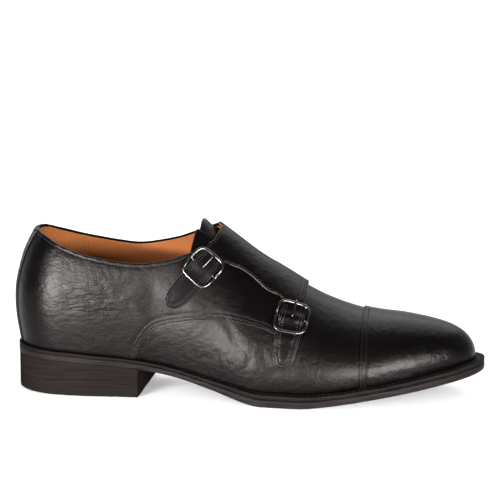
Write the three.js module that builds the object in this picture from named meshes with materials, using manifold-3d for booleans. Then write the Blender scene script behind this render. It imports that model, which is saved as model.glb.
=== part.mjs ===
// A double monk strap shoe for the right foot, in millimetres, +X towards the toe, +Y towards the
// inner (medial) side, +Z up. Everything that touches the foot follows one last, which is a row of
// cross-sections with a feather line at the bottom and a ridge at the top.
import * as THREE from "three";
import { mergeVertices } from "three/addons/utils/BufferGeometryUtils.js";
import Module from "manifold-3d";

const wasm = await Module();
wasm.setup();

// Driving dimensions
const soleLength = 300;
const ballWidth = 100;
const heelHeight = 24;
const toeSpring = 17;
const soleThickness = 4.6;
const weltThickness = 2.8;
const weltWidth = 11;
const heelLength = 84;
const topPieceThickness = 6;
const heelLiftThickness = 4.5;
const instepRise = 90;
const backRise = 72.5;
const upperWall = 1.5;
const quarterStep = 0.8;
const toeCapStart = 223.2;
const toeCapThickness = 1;
const strapLeather = 1.3;
const strapLength = 32;
const strapWidth = 15.6;
const backstayWidth = 27;
const backstayThickness = 1;
const insoleThickness = 3;
const tongueThickness = 1.6;
const buckleLength = 19.8;
const buckleWidth = strapWidth + 4;
const buckleWire = 1.05;
const buckleBar = 0.7;
const prongWire = 0.7;
const seatGap = 0.3;

// The sole along its length. at is a share of soleLength; lateral and medial are shares of half the
// ball width; centre is the sideways bend of the middle line, a share of the ball width; rise is a
// share of heelHeight, spring of toeSpring and edge of the full edge thickness.
const soleRows = [
  { at: 0.0, lateral: 0.66, medial: 0.66, centre: 0, rise: 1.0, spring: 0, edge: 0.8 },
  { at: 0.1, lateral: 0.66, medial: 0.66, centre: 0, rise: 0.93, spring: 0, edge: 0.78 },
  { at: 0.17, lateral: 0.66, medial: 0.66, centre: 0, rise: 0.865, spring: 0, edge: 0.75 },
  { at: 0.25, lateral: 0.645, medial: 0.62, centre: 0, rise: 0.79, spring: 0, edge: 0.73 },
  { at: 0.32, lateral: 0.65, medial: 0.575, centre: 0, rise: 0.675, spring: 0, edge: 0.72 },
  { at: 0.37, lateral: 0.69, medial: 0.555, centre: 0, rise: 0.555, spring: 0, edge: 0.7 },
  { at: 0.43, lateral: 0.765, medial: 0.56, centre: 0, rise: 0.355, spring: 0, edge: 0.78 },
  { at: 0.48, lateral: 0.85, medial: 0.61, centre: 0, rise: 0.17, spring: 0, edge: 0.95 },
  { at: 0.515, lateral: 0.91, medial: 0.66, centre: 0, rise: 0.045, spring: 0, edge: 1.05 },
  { at: 0.545, lateral: 0.945, medial: 0.72, centre: 0, rise: 0, spring: 0, edge: 1.05 },
  { at: 0.62, lateral: 0.99, medial: 0.895, centre: 0.003, rise: 0, spring: 0, edge: 1.0 },
  { at: 0.667, lateral: 0.99, medial: 0.98, centre: 0.004, rise: 0, spring: 0.075, edge: 0.97 },
  { at: 0.72, lateral: 0.96, medial: 1.01, centre: 0.006, rise: 0, spring: 0.205, edge: 0.93 },
  { at: 0.77, lateral: 0.905, medial: 0.995, centre: 0.01, rise: 0, spring: 0.335, edge: 0.92 },
  { at: 0.83, lateral: 0.84, medial: 0.935, centre: 0.016, rise: 0, spring: 0.495, edge: 0.95 },
  { at: 0.9, lateral: 0.78, medial: 0.855, centre: 0.025, rise: 0, spring: 0.695, edge: 0.98 },
  { at: 0.95, lateral: 0.75, medial: 0.8, centre: 0.033, rise: 0, spring: 0.84, edge: 1.0 },
  { at: 1.0, lateral: 0.74, medial: 0.76, centre: 0.042, rise: 0, spring: 1.0, edge: 1.0 },
];
const soleBack = 0.005;
const heelRound = { length: 0.11, power: 2.2 };
const toeRound = { length: 0.235, power: 2.05 };

// The last along its length. at is a share of soleLength. inset is how far the feather line lies
// inside the sole's edge and lean how far the side swells out past it, both shares of half the ball
// width; ridge is a share of instepRise, shift the ridge's sideways place as a share of ballWidth;
// side and top are how full the flank and the crown of the section are.
const lastRows = [
  { at: 0.0, inset: 0.03, leanOut: 0.12, leanIn: 0.12, ridge: 1.05, shift: 0, side: 0.52, top: 0.62 },
  { at: 0.12, inset: 0.03, leanOut: 0.12, leanIn: 0.12, ridge: 1.09, shift: 0, side: 0.52, top: 0.62 },
  { at: 0.25, inset: 0.035, leanOut: 0.14, leanIn: 0.16, ridge: 1.13, shift: 0, side: 0.5, top: 0.62 },
  { at: 0.34, inset: 0.045, leanOut: 0.16, leanIn: 0.24, ridge: 1.14, shift: 0, side: 0.48, top: 0.6 },
  { at: 0.4, inset: 0.055, leanOut: 0.16, leanIn: 0.3, ridge: 1.075, shift: 0.003, side: 0.47, top: 0.54 },
  { at: 0.443, inset: 0.065, leanOut: 0.15, leanIn: 0.3, ridge: 1.007, shift: 0.006, side: 0.46, top: 0.48 },
  { at: 0.5, inset: 0.08, leanOut: 0.14, leanIn: 0.26, ridge: 0.905, shift: 0.012, side: 0.45, top: 0.44 },
  { at: 0.567, inset: 0.095, leanOut: 0.14, leanIn: 0.19, ridge: 0.785, shift: 0.02, side: 0.45, top: 0.44 },
  { at: 0.62, inset: 0.1, leanOut: 0.14, leanIn: 0.15, ridge: 0.678, shift: 0.026, side: 0.45, top: 0.47 },
  { at: 0.667, inset: 0.1, leanOut: 0.13, leanIn: 0.13, ridge: 0.584, shift: 0.028, side: 0.46, top: 0.5 },
  { at: 0.72, inset: 0.105, leanOut: 0.12, leanIn: 0.12, ridge: 0.497, shift: 0.026, side: 0.48, top: 0.54 },
  { at: 0.77, inset: 0.105, leanOut: 0.11, leanIn: 0.11, ridge: 0.433, shift: 0.022, side: 0.5, top: 0.57 },
  { at: 0.83, inset: 0.105, leanOut: 0.1, leanIn: 0.1, ridge: 0.379, shift: 0.015, side: 0.52, top: 0.6 },
  { at: 0.9, inset: 0.105, leanOut: 0.09, leanIn: 0.09, ridge: 0.306, shift: 0.007, side: 0.54, top: 0.62 },
  { at: 1.0, inset: 0.105, leanOut: 0.08, leanIn: 0.08, ridge: 0.25, shift: 0, side: 0.55, top: 0.62 },
];
const lastBack = 0.0125;
const lastToe = 0.977;
const crownRound = { length: 0.113, power: 2.3 };

// The back curve of the heel seen from the side: up is a share of backRise above the seat and
// forward a share of soleLength, fading out along the first third of the shoe.
const backRows = [
  { up: -0.2, forward: 0.004 },
  { up: 0.0, forward: 0.0035 },
  { up: 0.12, forward: -0.001 },
  { up: 0.24, forward: -0.0055 },
  { up: 0.38, forward: -0.0075 },
  { up: 0.52, forward: -0.005 },
  { up: 0.66, forward: 0.003 },
  { up: 0.8, forward: 0.014 },
  { up: 0.92, forward: 0.029 },
  { up: 1.0, forward: 0.041 },
  { up: 1.4, forward: 0.1 },
];
const backFade = 0.34;

// Smooth reading of a table's column between its rows.
function read(rows, key, column, at) {
  const last = rows.length - 1;
  if (at <= rows[0][key]) return rows[0][column];
  if (at >= rows[last][key]) return rows[last][column];
  let i = 0;
  while (at > rows[i + 1][key]) i++;
  const slope = (a, b) => (rows[b][column] - rows[a][column]) / (rows[b][key] - rows[a][key]);
  const span = rows[i + 1][key] - rows[i][key];
  const here = slope(i, i + 1);
  const before = i > 0 ? slope(i - 1, i + 1) : here;
  const after = i + 1 < last ? slope(i, i + 2) : here;
  const f = (at - rows[i][key]) / span;
  const a = rows[i][column];
  const b = rows[i + 1][column];
  return (
    a * (2 * f ** 3 - 3 * f ** 2 + 1) +
    b * (3 * f ** 2 - 2 * f ** 3) +
    before * span * (f ** 3 - 2 * f ** 2 + f) +
    after * span * (f ** 3 - f ** 2)
  );
}

// Rounds a form off to nothing over a stretch at its end.
function round(distance, length, power) {
  const left = Math.max(0, 1 - Math.max(0, distance) / length);
  return (1 - left ** power) ** (1 / power);
}

const outer = -1;
const inner = 1;
const sideName = (side) => (side === outer ? "lateral" : "medial");

// Half the sole's width at x, on one side of its middle line.
function soleHalf(x, side) {
  const at = x / soleLength;
  return (
    (read(soleRows, "at", sideName(side), at) * ballWidth * 0.5) *
    round(at - soleBack, heelRound.length, heelRound.power) *
    round(1 - at, toeRound.length, toeRound.power)
  );
}
const soleMiddle = (x) => read(soleRows, "at", "centre", x / soleLength) * ballWidth;
const edgeShare = (x) => read(soleRows, "at", "edge", x / soleLength);
// Flat on the floor under the ball of the foot.
const soleBottom = (x) =>
  heelHeight * Math.max(0, read(soleRows, "at", "rise", x / soleLength)) +
  toeSpring * Math.max(0, read(soleRows, "at", "spring", x / soleLength));
const soleTop = (x) => soleBottom(x) + soleThickness * edgeShare(x);
const weltBottom = (x) => soleTop(x) + seatGap;
const weltTop = (x) => weltBottom(x) + weltThickness * edgeShare(x);
const featherHeight = (x) => weltTop(x) + seatGap;

// The four control points of one side of the last's section at x, as [y, z].
function section(x, side) {
  const at = x / soleLength;
  const row = (column) => read(lastRows, "at", column, at);
  const back = lastBack * soleLength;
  const toe = lastToe * soleLength;
  const onSole = (soleBack + ((x - back) / (toe - back)) * (1 - soleBack)) * soleLength;
  const middle = soleMiddle(x);
  const half = ballWidth / 2;
  const closed = soleHalf(onSole, side);
  const taper = Math.min(1, closed / (0.6 * half));
  const foot = closed - row("inset") * half * taper;
  const lean = row(side === outer ? "leanOut" : "leanIn") * half * taper;
  const rise =
    row("ridge") * instepRise * round(lastToe - at, crownRound.length, crownRound.power);
  const bottom = featherHeight(x);
  const ridgeY = middle + row("shift") * ballWidth * taper;
  const footY = middle + side * foot;
  return [
    [footY, bottom],
    [footY + side * lean, bottom + row("side") * rise],
    [ridgeY + row("top") * (footY - ridgeY), bottom + rise],
    [ridgeY, bottom + rise],
  ];
}

const seatHeight = featherHeight(0);

// A point of the last: x along it, t from the feather line (0) up to the ridge (1).
function lastPoint(x, side, t) {
  const p = section(x, side);
  const s = 1 - t;
  const weight = [s ** 3, 3 * s * s * t, 3 * s * t * t, t ** 3];
  let y = 0;
  let z = 0;
  p.forEach(([py, pz], i) => {
    y += py * weight[i];
    z += pz * weight[i];
  });
  const fade = Math.max(0, 1 - x / soleLength / backFade) ** 2;
  const forward = read(backRows, "up", "forward", (z - seatHeight) / backRise) * soleLength;
  return new THREE.Vector3(x + forward * fade, y, z);
}

const nudge = 1e-3;
function lastNormal(x, side, t) {
  const x0 = Math.max(x - nudge, lastBack * soleLength + nudge / 10);
  const x1 = Math.min(x + nudge, lastToe * soleLength - nudge / 10);
  const along = lastPoint(x1, side, t).sub(lastPoint(x0, side, t));
  const t0 = Math.max(0, t - nudge);
  const t1 = Math.min(1, t + nudge);
  const up = lastPoint(x, side, t1).sub(lastPoint(x, side, t0));
  return along.cross(up).multiplyScalar(-side).normalize();
}

// Stations along the last, close together where it rounds off and where the straps lie.
const endInset = 0.0001;
function stations() {
  const back = lastBack + endInset;
  const toe = lastToe - endInset;
  const list = [];
  const heelSteps = 7;
  for (let i = 0; i < heelSteps; i++)
    list.push(back + heelRound.length * (1 - Math.cos((i / heelSteps) * (Math.PI / 2))));
  const middle = { from: back + heelRound.length, to: toe - toeRound.length, steps: 25 };
  for (let i = 0; i < middle.steps; i++)
    list.push(middle.from + ((middle.to - middle.from) * i) / middle.steps);
  const toeSteps = 10;
  for (let i = toeSteps; i >= 0; i--)
    list.push(toe - toeRound.length * (1 - Math.cos((i / toeSteps) * (Math.PI / 2))));
  return list.map((at) => at * soleLength);
}
const lastStations = stations();
const insideStations = lastStations.filter((x, i) => i % 2 === 0 || i > lastStations.length - 5);
const stepsUp = 9;
const skirt = 8;

// The last grown by an amount, a number or a function of the place on it, as a closed solid with
// a skirt below its feather line.
function lastBody(grow, xs = lastStations) {
  const amount = typeof grow === "function" ? grow : () => grow;
  const rows = xs.map((x) => {
    const side = (s) => {
      const points = [];
      for (let j = 0; j <= stepsUp; j++) {
        const t = j / stepsUp;
        const normal = lastNormal(x, s, t);
        if (j === stepsUp) normal.add(lastNormal(x, -s, t)).normalize();
        points.push(lastPoint(x, s, t).addScaledVector(normal, amount(x, s, t)));
      }
      const foot = points[0].clone();
      foot.z -= skirt;
      return [foot, ...points];
    };
    return [...side(outer), ...side(inner).reverse().slice(1)];
  });
  return gridSolid(rows);
}

// A closed solid from rows of points across it, with flat ends and a flat bottom.
function gridSolid(rows) {
  const width = rows[0].length;
  const points = rows.flat();
  const faces = [];
  const quad = (a, b, c, d) => faces.push([a, b, c], [a, c, d]);
  for (let i = 0; i + 1 < rows.length; i++)
    for (let j = 0; j < width; j++) {
      const k = (j + 1) % width;
      quad(i * width + j, (i + 1) * width + j, (i + 1) * width + k, i * width + k);
    }
  const end = (i, turned) => {
    for (let j = 0; j + 1 <= width - 2 - j; j++) {
      const [a, b, c, d] = [j, j + 1, width - 2 - j, width - 1 - j].map((k) => i * width + k);
      if (b === c) faces.push(turned ? [a, d, b] : [a, b, d]);
      else if (turned) quad(a, d, c, b);
      else quad(a, b, c, d);
    }
  };
  end(0, false);
  end(rows.length - 1, true);
  return solidFrom(points, faces);
}

function solidFrom(points, faces) {
  const made = new wasm.Manifold(
    new wasm.Mesh({
      numProp: 3,
      vertProperties: new Float32Array(points.flatMap((p) => [p.x, p.y, p.z])),
      triVerts: new Uint32Array(faces.flat()),
    }),
  );
  if (made.volume() >= 0) return made;
  return new wasm.Manifold(
    new wasm.Mesh({
      numProp: 3,
      vertProperties: new Float32Array(points.flatMap((p) => [p.x, p.y, p.z])),
      triVerts: new Uint32Array(faces.map(([a, b, c]) => [a, c, b]).flat()),
    }),
  );
}

// A side view outline, as [x, z] points, carried through from one y to another.
function sidePrism(outline, fromY, toY) {
  const shape = new THREE.Shape(outline.map(([x, z]) => new THREE.Vector2(x, z)));
  const geometry = new THREE.ExtrudeGeometry(shape, { depth: toY - fromY, bevelEnabled: false });
  geometry.rotateX(Math.PI / 2).translate(0, toY, 0);
  return geometrySolid(geometry);
}

function geometrySolid(geometry) {
  geometry.deleteAttribute("normal");
  geometry.deleteAttribute("uv");
  const merged = mergeVertices(geometry, 1e-4);
  const { array } = merged.attributes.position;
  const points = [];
  for (let i = 0; i < array.length; i += 3)
    points.push(new THREE.Vector3(array[i], array[i + 1], array[i + 2]));
  const faces = [];
  for (let i = 0; i < merged.index.count; i += 3)
    faces.push([0, 1, 2].map((k) => merged.index.array[i + k]));
  return solidFrom(points, faces);
}

// Smooth side view line through hand-placed points.
function smoothLine(points, steps) {
  return new THREE.SplineCurve(points.map(([x, z]) => new THREE.Vector2(x, z)))
    .getPoints(steps)
    .map((p) => [p.x, p.y]);
}

const far = 200;
const aboveWelt = sidePrism(
  [
    [-20, featherHeight(0)],
    ...lastStations.map((x) => [x, featherHeight(x)]),
    [soleLength + 20, featherHeight(soleLength)],
    [soleLength + 20, far],
    [-20, far],
  ],
  -far,
  far,
);

// The collar's line on each side, as shares of soleLength and of backRise above the seat.
const collarLateral = [
  [-0.06, 1.04],
  [0.043, 0.998],
  [0.075, 0.97],
  [0.11, 0.9],
  [0.155, 0.83],
  [0.2, 0.788],
  [0.243, 0.76],
  [0.287, 0.752],
  [0.327, 0.772],
  [0.357, 0.8],
  [0.377, 0.832],
  [0.42, 0.87],
  [0.475, 0.92],
];
const collarMedial = [
  [-0.06, 1.04],
  [0.043, 0.998],
  [0.08, 0.94],
  [0.12, 0.89],
  [0.163, 0.856],
  [0.207, 0.829],
  [0.25, 0.814],
  [0.293, 0.837],
  [0.34, 0.883],
  [0.373, 0.935],
  [0.407, 0.993],
  [0.443, 1.06],
  [0.48, 1.12],
];
const throat = 0.48;
const sideLine = (rows) => rows.map(([at, up]) => [at * soleLength, seatHeight + up * backRise]);
function collarCut(rows, fromY, toY) {
  return sidePrism(
    [
      ...smoothLine(sideLine(rows), 40),
      [throat * soleLength, far],
      [-20, far],
    ],
    fromY,
    toY,
  );
}

function cutCollar(solid) {
  return solid
    .subtract(collarCut(collarLateral, -far, 0))
    .subtract(collarCut(collarMedial, 0, far));
}

// The seam where the lateral quarter overlaps the vamp, and the hidden end of that quarter under
// the flap, as shares like the collar's.
const quarterSeam = [
  [0.275, -0.5],
  [0.277, -0.05],
  [0.285, 0.045],
  [0.294, 0.11],
  [0.307, 0.173],
  [0.322, 0.212],
  [0.339, 0.236],
  [0.36, 0.256],
  [0.382, 0.272],
  [0.413, 0.287],
  [0.455, 0.297],
  [0.497, 0.278],
  [0.543, 0.234],
  [0.565, 0.199],
  [0.583, 0.172],
  [0.6, 0.2],
  [0.61, 0.27],
  [0.615, 0.38],
  [0.617, 0.5],
  [0.618, 0.9],
];
const backstayReach = 0.1 * soleLength;
const backstayHalf = backstayWidth / 2;
const backStrip = (half) =>
  sidePrism([[-20, -20], [backstayReach, -20], [backstayReach, far], [-20, far]], -half, half);
const lateralQuarter = sidePrism(
  [[-20, far], [-20, -20], ...smoothLine(sideLine(quarterSeam), 44), [0.618 * soleLength, far]],
  -far,
  0,
);

const outside = lastBody(0);
const stepped = lastBody(quarterStep).intersect(lateralQuarter.add(backStrip(backstayHalf)));
const cavity = lastBody(-upperWall, insideStations);
const upper = cutCollar(outside.add(stepped).subtract(cavity).intersect(aboveWelt));

const inFront = (x) => sidePrism([[x, -20], [400, -20], [400, far], [x, far]], -far, far);
const toeCap = lastBody(seatGap + toeCapThickness)
  .subtract(lastBody(seatGap))
  .intersect(aboveWelt)
  .intersect(inFront(toeCapStart));

const backstayBottom = quarterStep + seatGap;
const backstay = cutCollar(
  lastBody(backstayBottom + backstayThickness)
    .subtract(lastBody(backstayBottom))
    .intersect(aboveWelt)
    .intersect(backStrip(backstayHalf)),
);

// The medial quarter runs from the backstay forward, over the instep as a flap and down the lateral
// side as two straps. It lies on the vamp, and on the lateral quarter once it is over the instep.
const smooth = (f) => {
  const g = Math.min(1, Math.max(0, f));
  return g * g * (3 - 2 * g);
};
const crossing = { from: 0.34, over: 0.09, up: 0.55 };
const strapBed = (x, side, t) => {
  if (side === outer) return quarterStep + seatGap;
  const along = smooth((x / soleLength - crossing.from) / crossing.over);
  return seatGap + quarterStep * along * smooth((t - crossing.up) / (1 - crossing.up));
};
const flapSheet = lastBody((x, side, t) => strapBed(x, side, t) + strapLeather)
  .subtract(lastBody(strapBed))
  .intersect(aboveWelt);
const flapLateral = [
  [0.4433, 1.3721],
  [0.4433, 1.059],
  [0.4387, 0.9859],
  [0.4317, 0.9308],
  [0.424, 0.9114],
  [0.468, 0.7321],
  [0.4773, 0.7142],
  [0.4883, 0.6977],
  [0.507, 0.6508],
  [0.5243, 0.5956],
  [0.5467, 0.5225],
  [0.5707, 0.4783],
  [0.624, 0.4121],
  [0.6243, 0.4894],
  [0.6257, 0.5721],
  [0.6263, 1.3721],
];
const flapMedial = [
  [0.6263, 0.8204],
  [0.6257, 0.5721],
  [0.6183, 0.4066],
  [0.5983, 0.2411],
  [0.5683, 0.0894],
  [0.5333, -0.0417],
  [0.5033, -0.1727],
  [0.4867, -0.3106],
  [0.48, -0.4899],
];
const medialFront = smoothLine(sideLine(flapMedial), 20);
const medialZone = sidePrism(
  [[-20, -20], ...[...medialFront].reverse(), [medialFront[0][0], far], [-20, far]],
  0,
  far,
);
const flapMain = flapSheet
  .intersect(medialZone)
  .subtract(backStrip(backstayHalf + seatGap))
  .subtract(collarCut(collarMedial, -1, far))
  .add(flapSheet.intersect(sidePrism(sideLine(flapLateral), -far, 0)));

// A place over the last, found from where it is seen from the side, at a height above its surface.
function over(side, x, z, height) {
  let low = 0;
  let high = 1;
  for (let i = 0; i < 30; i++) {
    const t = (low + high) / 2;
    if (lastPoint(x, side, t).z < z) low = t;
    else high = t;
  }
  return lastPoint(x, side, low).addScaledVector(lastNormal(x, side, low), height);
}

// A strap's middle line on the lateral side, straight as seen from the side, from the middle of its
// buckle to its tip. place() takes millimetres along it, across it and above the last.
function strapLine(buckle, tip) {
  const steps = 60;
  const [from, to] = sideLine([buckle, tip]);
  const spot = (s) => [from[0] + (to[0] - from[0]) * s, from[1] + (to[1] - from[1]) * s];
  const share = (i) => -0.6 + (1.8 * i) / steps;
  const points = [];
  const length = [0];
  for (let i = 0; i <= steps; i++) {
    points.push(over(outer, ...spot(share(i)), 0));
    if (i > 0) length.push(length[i - 1] + points[i].distanceTo(points[i - 1]));
  }
  const zero = length[Math.round((0.6 * steps) / 1.8)];
  return (along, across, height) => {
    let i = 0;
    while (i < steps - 1 && length[i + 1] - zero < along) i++;
    const f = (along + zero - length[i]) / (length[i + 1] - length[i]);
    const [x, z] = spot(share(i + f));
    const forward = points[i + 1].clone().sub(points[i]).normalize();
    const up = over(outer, x, z, 1).sub(over(outer, x, z, 0));
    const sideways = up.cross(forward).normalize();
    return over(outer, x + sideways.x * across, z + sideways.z * across, height);
  };
}

// The strap from inside the flap to its tip: along is a share of strapLength from the middle of the
// buckle, half a share of half strapWidth and tuck a share of strapLeather taken off each face.
const strapRows = [
  { along: -0.456, half: 0.974, tuck: 0.27 },
  { along: -0.406, half: 1.0, tuck: 0.27 },
  { along: -0.381, half: 1.026, tuck: 0 },
  { along: -0.281, half: 1.013, tuck: 0 },
  { along: -0.188, half: 1.006, tuck: 0 },
  { along: -0.125, half: 1.0, tuck: 0 },
  { along: -0.062, half: 1.0, tuck: 0 },
  { along: 0.0, half: 1.0, tuck: 0 },
  { along: 0.062, half: 1.0, tuck: 0 },
  { along: 0.125, half: 1.0, tuck: 0 },
  { along: 0.188, half: 1.0, tuck: 0 },
  { along: 0.281, half: 0.994, tuck: 0 },
  { along: 0.438, half: 0.962, tuck: 0 },
  { along: 0.594, half: 0.923, tuck: 0 },
  { along: 0.734, half: 0.872, tuck: 0 },
  { along: 0.844, half: 0.769, tuck: 0 },
  { along: 0.925, half: 0.603, tuck: 0 },
  { along: 0.978, half: 0.359, tuck: 0 },
  { along: 1.0, half: 0.128, tuck: 0 },
];
const barLift = 2 * buckleBar + seatGap;
const liftReach = 5.1 * buckleBar;
const liftAt = (u) => barLift * Math.exp(-((u / liftReach) ** 2));
const strapBottom = quarterStep + seatGap;
function strap(place) {
  const across = [-1, -0.5, 0, 0.5, 1];
  return gridSolid(
    strapRows.map(({ along, half, tuck }) => {
      const u = along * strapLength;
      const low = strapBottom + liftAt(u) + tuck * strapLeather;
      const high = strapBottom + liftAt(u) + (1 - tuck) * strapLeather;
      const line = (height) => across.map((a) => place(u, (a * half * strapWidth) / 2, height));
      return [...line(low), ...line(high).reverse()];
    }),
  );
}

// A buckle's squared frame: its two ends lie over the strap and its two sides dip to carry the bar
// that runs under the strap.
const frameHeight = strapBottom + strapLeather + seatGap + buckleWire;
const barHeight = strapBottom + buckleBar;
const sideDip = frameHeight - barHeight - 0.45;
function buckle(place) {
  const count = 32;
  const corner = 4.4;
  const path = [];
  for (let i = 0; i < count; i++) {
    const a = (i / count) * 2 * Math.PI;
    const power = 2 / corner;
    const u = (Math.sign(Math.cos(a)) * Math.abs(Math.cos(a)) ** power * buckleLength) / 2;
    const v = (Math.sign(Math.sin(a)) * Math.abs(Math.sin(a)) ** power * buckleWidth) / 2;
    path.push([u, v, frameHeight - sideDip * Math.exp(-((u / 3.2) ** 2))]);
  }
  const loops = [];
  for (let k = 0; k < 6; k++) {
    const turn = (k / 6) * 2 * Math.PI;
    loops.push(
      path.map(([u, v, h], i) => {
        const next = path[(i + 1) % count];
        const last = path[(i + count - 1) % count];
        const out = new THREE.Vector2(next[1] - last[1], last[0] - next[0]).normalize();
        const r = buckleWire * Math.cos(turn);
        return place(u + out.x * r, v + out.y * r, h + buckleWire * Math.sin(turn));
      }),
    );
  }
  return ring(loops).add(
    wire(place, [
      [0, -buckleWidth / 2, barHeight, buckleBar],
      [0, buckleWidth / 2, barHeight, buckleBar],
    ], false),
  );
}

// A six-sided wire over the last through [along, across, height, radius] points.
function wire(place, path, lengthwise) {
  return plate(
    path.map(([u, v, h, r]) => {
      const loop = [];
      for (let k = 0; k < 6; k++) {
        const a = (k / 6) * 2 * Math.PI;
        const w = r * Math.cos(a);
        loop.push(lengthwise ? place(u, v + w, h + r * Math.sin(a)) : place(u + w, v, h + r * Math.sin(a)));
      }
      return loop;
    }),
  );
}
const overStrap = strapBottom + barLift + strapLeather + seatGap + prongWire;
const overFrame = frameHeight + buckleWire + seatGap + prongWire;
const frameEnd = buckleLength / 2;
const prong = (place) =>
  wire(place, [
    [-0.04 * frameEnd, 0, overStrap, prongWire],
    [-0.4 * frameEnd, 0, (overStrap + overFrame) / 2, prongWire],
    [-0.8 * frameEnd, 0, overFrame, prongWire * 0.95],
    [-frameEnd, 0, overFrame, prongWire * 0.85],
    [-1.12 * frameEnd, 0, overFrame - 0.25, prongWire * 0.6],
  ], true);

const rearStrap = strapLine([0.4157, 0.7142], [0.3497, 0.4108]);
const frontStrap = strapLine([0.6013, 0.3018], [0.5873, -0.0679]);
const medialQuarter = flapMain.add(strap(rearStrap)).add(strap(frontStrap));

// The tongue lies inside the upper, under the flap, and stands out at the throat.
const tongueTop = -(upperWall + seatGap);
const tongueStations = insideStations.filter((x) => x > soleLength * 0.28 && x < soleLength * 0.66);
const tongueOutline = [
  [0.4117, 1.3721],
  [0.4067, 1.0687],
  [0.3987, 1.0466],
  [0.394, 0.9721],
  [0.388, 0.848],
  [0.385, 0.7377],
  [0.39, 0.648],
  [0.4133, 0.6135],
  [0.5, 0.517],
  [0.5533, 0.4342],
  [0.57, 0.4894],
  [0.5733, 1.3721],
];
const tongue = lastBody(tongueTop, tongueStations)
  .subtract(lastBody(tongueTop - tongueThickness, tongueStations))
  .intersect(sidePrism(sideLine(tongueOutline), -far, far));

// Outline of the sole as a closed loop of points, at a height and drawn in by an inset.
function soleLoop(height, inset) {
  const xs = soleStations;
  const ring = [];
  const push = (x, side) => ring.push(new THREE.Vector2(x, soleMiddle(x) + side * soleHalf(x, side)));
  xs.forEach((x) => push(x, outer));
  [...xs].reverse().slice(1, -1).forEach((x) => push(x, inner));
  const n = ring.length;
  return ring.map((p, i) => {
    const along = ring[(i + 1) % n].clone().sub(ring[(i + n - 1) % n]).normalize();
    const x = p.x - along.y * inset;
    const y = p.y + along.x * inset;
    return new THREE.Vector3(x, y, height(Math.min(Math.max(x, 0), soleLength)));
  });
}
const soleStations = (() => {
  const list = [];
  const heelSteps = 9;
  for (let i = 0; i < heelSteps; i++)
    list.push(soleBack + heelRound.length * (1 - Math.cos((i / heelSteps) * (Math.PI / 2))));
  const middle = { from: soleBack + heelRound.length, to: 1 - toeRound.length, steps: 24 };
  for (let i = 0; i < middle.steps; i++)
    list.push(middle.from + ((middle.to - middle.from) * i) / middle.steps);
  const toeSteps = 11;
  for (let i = toeSteps; i >= 0; i--)
    list.push(1 - toeRound.length * (1 - Math.cos((i / toeSteps) * (Math.PI / 2))));
  return list.map((at) => at * soleLength);
})();

// A plate from loops stacked from its bottom to its top, closed flat across.
function plate(loops) {
  const n = loops[0].length;
  const faces = [];
  for (let k = 0; k + 1 < loops.length; k++)
    for (let i = 0; i < n; i++) {
      const j = (i + 1) % n;
      faces.push([k * n + i, k * n + j, (k + 1) * n + j], [k * n + i, (k + 1) * n + j, (k + 1) * n + i]);
    }
  const cap = (base, turned) => {
    for (let i = 0; i < n / 2; i++) {
      const quad = [i, i + 1, (n - i - 1) % n, (n - i) % n].map((q) => base + q);
      const [a, b, c, d] = quad;
      const add = (...f) => faces.push(turned ? f.reverse() : f);
      if (b !== c) add(a, c, b);
      if (a !== d) add(a, d, c);
    }
  };
  cap(0, false);
  cap((loops.length - 1) * n, true);
  return solidFrom(loops.flat(), faces);
}

// A ring from loops around its section.
function ring(loops) {
  const n = loops[0].length;
  const m = loops.length;
  const faces = [];
  for (let k = 0; k < m; k++)
    for (let i = 0; i < n; i++) {
      const j = (i + 1) % n;
      const l = (k + 1) % m;
      faces.push([k * n + i, k * n + j, l * n + j], [k * n + i, l * n + j, l * n + i]);
    }
  return solidFrom(loops.flat(), faces);
}

const edgeRound = 0.8;
const outsole = plate([
  soleLoop(soleBottom, edgeRound),
  soleLoop((x) => soleBottom(x) + edgeRound, 0),
  soleLoop(soleTop, 0),
]);
const welt = ring([
  soleLoop(weltBottom, 0),
  soleLoop(weltTop, 0.3),
  soleLoop(weltTop, weltWidth),
  soleLoop(weltBottom, weltWidth),
]);

// The insole board, thicker in the middle where it fills the space inside the welt.
const boardLine = (rise) => insideStations.map((x) => [x, featherHeight(x) + rise]);
const board = sidePrism([...boardLine(seatGap / 2), ...boardLine(insoleThickness).reverse()], -far, far);
const filling = plate([
  soleLoop((x) => soleTop(x) + seatGap, weltWidth + seatGap),
  soleLoop((x) => featherHeight(x) + insoleThickness / 2, weltWidth + seatGap),
]);
const insole = lastBody(-upperWall - seatGap, insideStations).intersect(board).add(filling);

const heelInset = 0.4;
const behindBreast = sidePrism([[-20, -20], [heelLength, -20], [heelLength, 60], [-20, 60]], -far, far);
const heelPiece = (bottom, top) =>
  plate([soleLoop(bottom, heelInset), soleLoop(top, heelInset)]).intersect(behindBreast);
const level = (z) => () => z;
// The top piece lies flat under the front of the heel and lifts a little towards its back edge.
const treadLift = { share: 0.62, rise: 1.9 };
const tread = (x) => treadLift.rise * Math.max(0, 1 - x / (treadLift.share * heelLength)) ** 1.5;
const topPiece = heelPiece(tread, level(topPieceThickness));
const firstLift = topPieceThickness + seatGap / 2;
const lifts = [];
for (let i = 0; i < 2; i++) {
  const z = firstLift + i * heelLiftThickness;
  lifts.push(heelPiece(level(z), level(z + heelLiftThickness - seatGap / 2)));
}
const wedgeBottom = firstLift + 2 * heelLiftThickness;
const wedgeTop = (x) => Math.max(wedgeBottom + 1, soleBottom(x) - seatGap);
lifts.push(heelPiece(level(wedgeBottom), wedgeTop));

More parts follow.
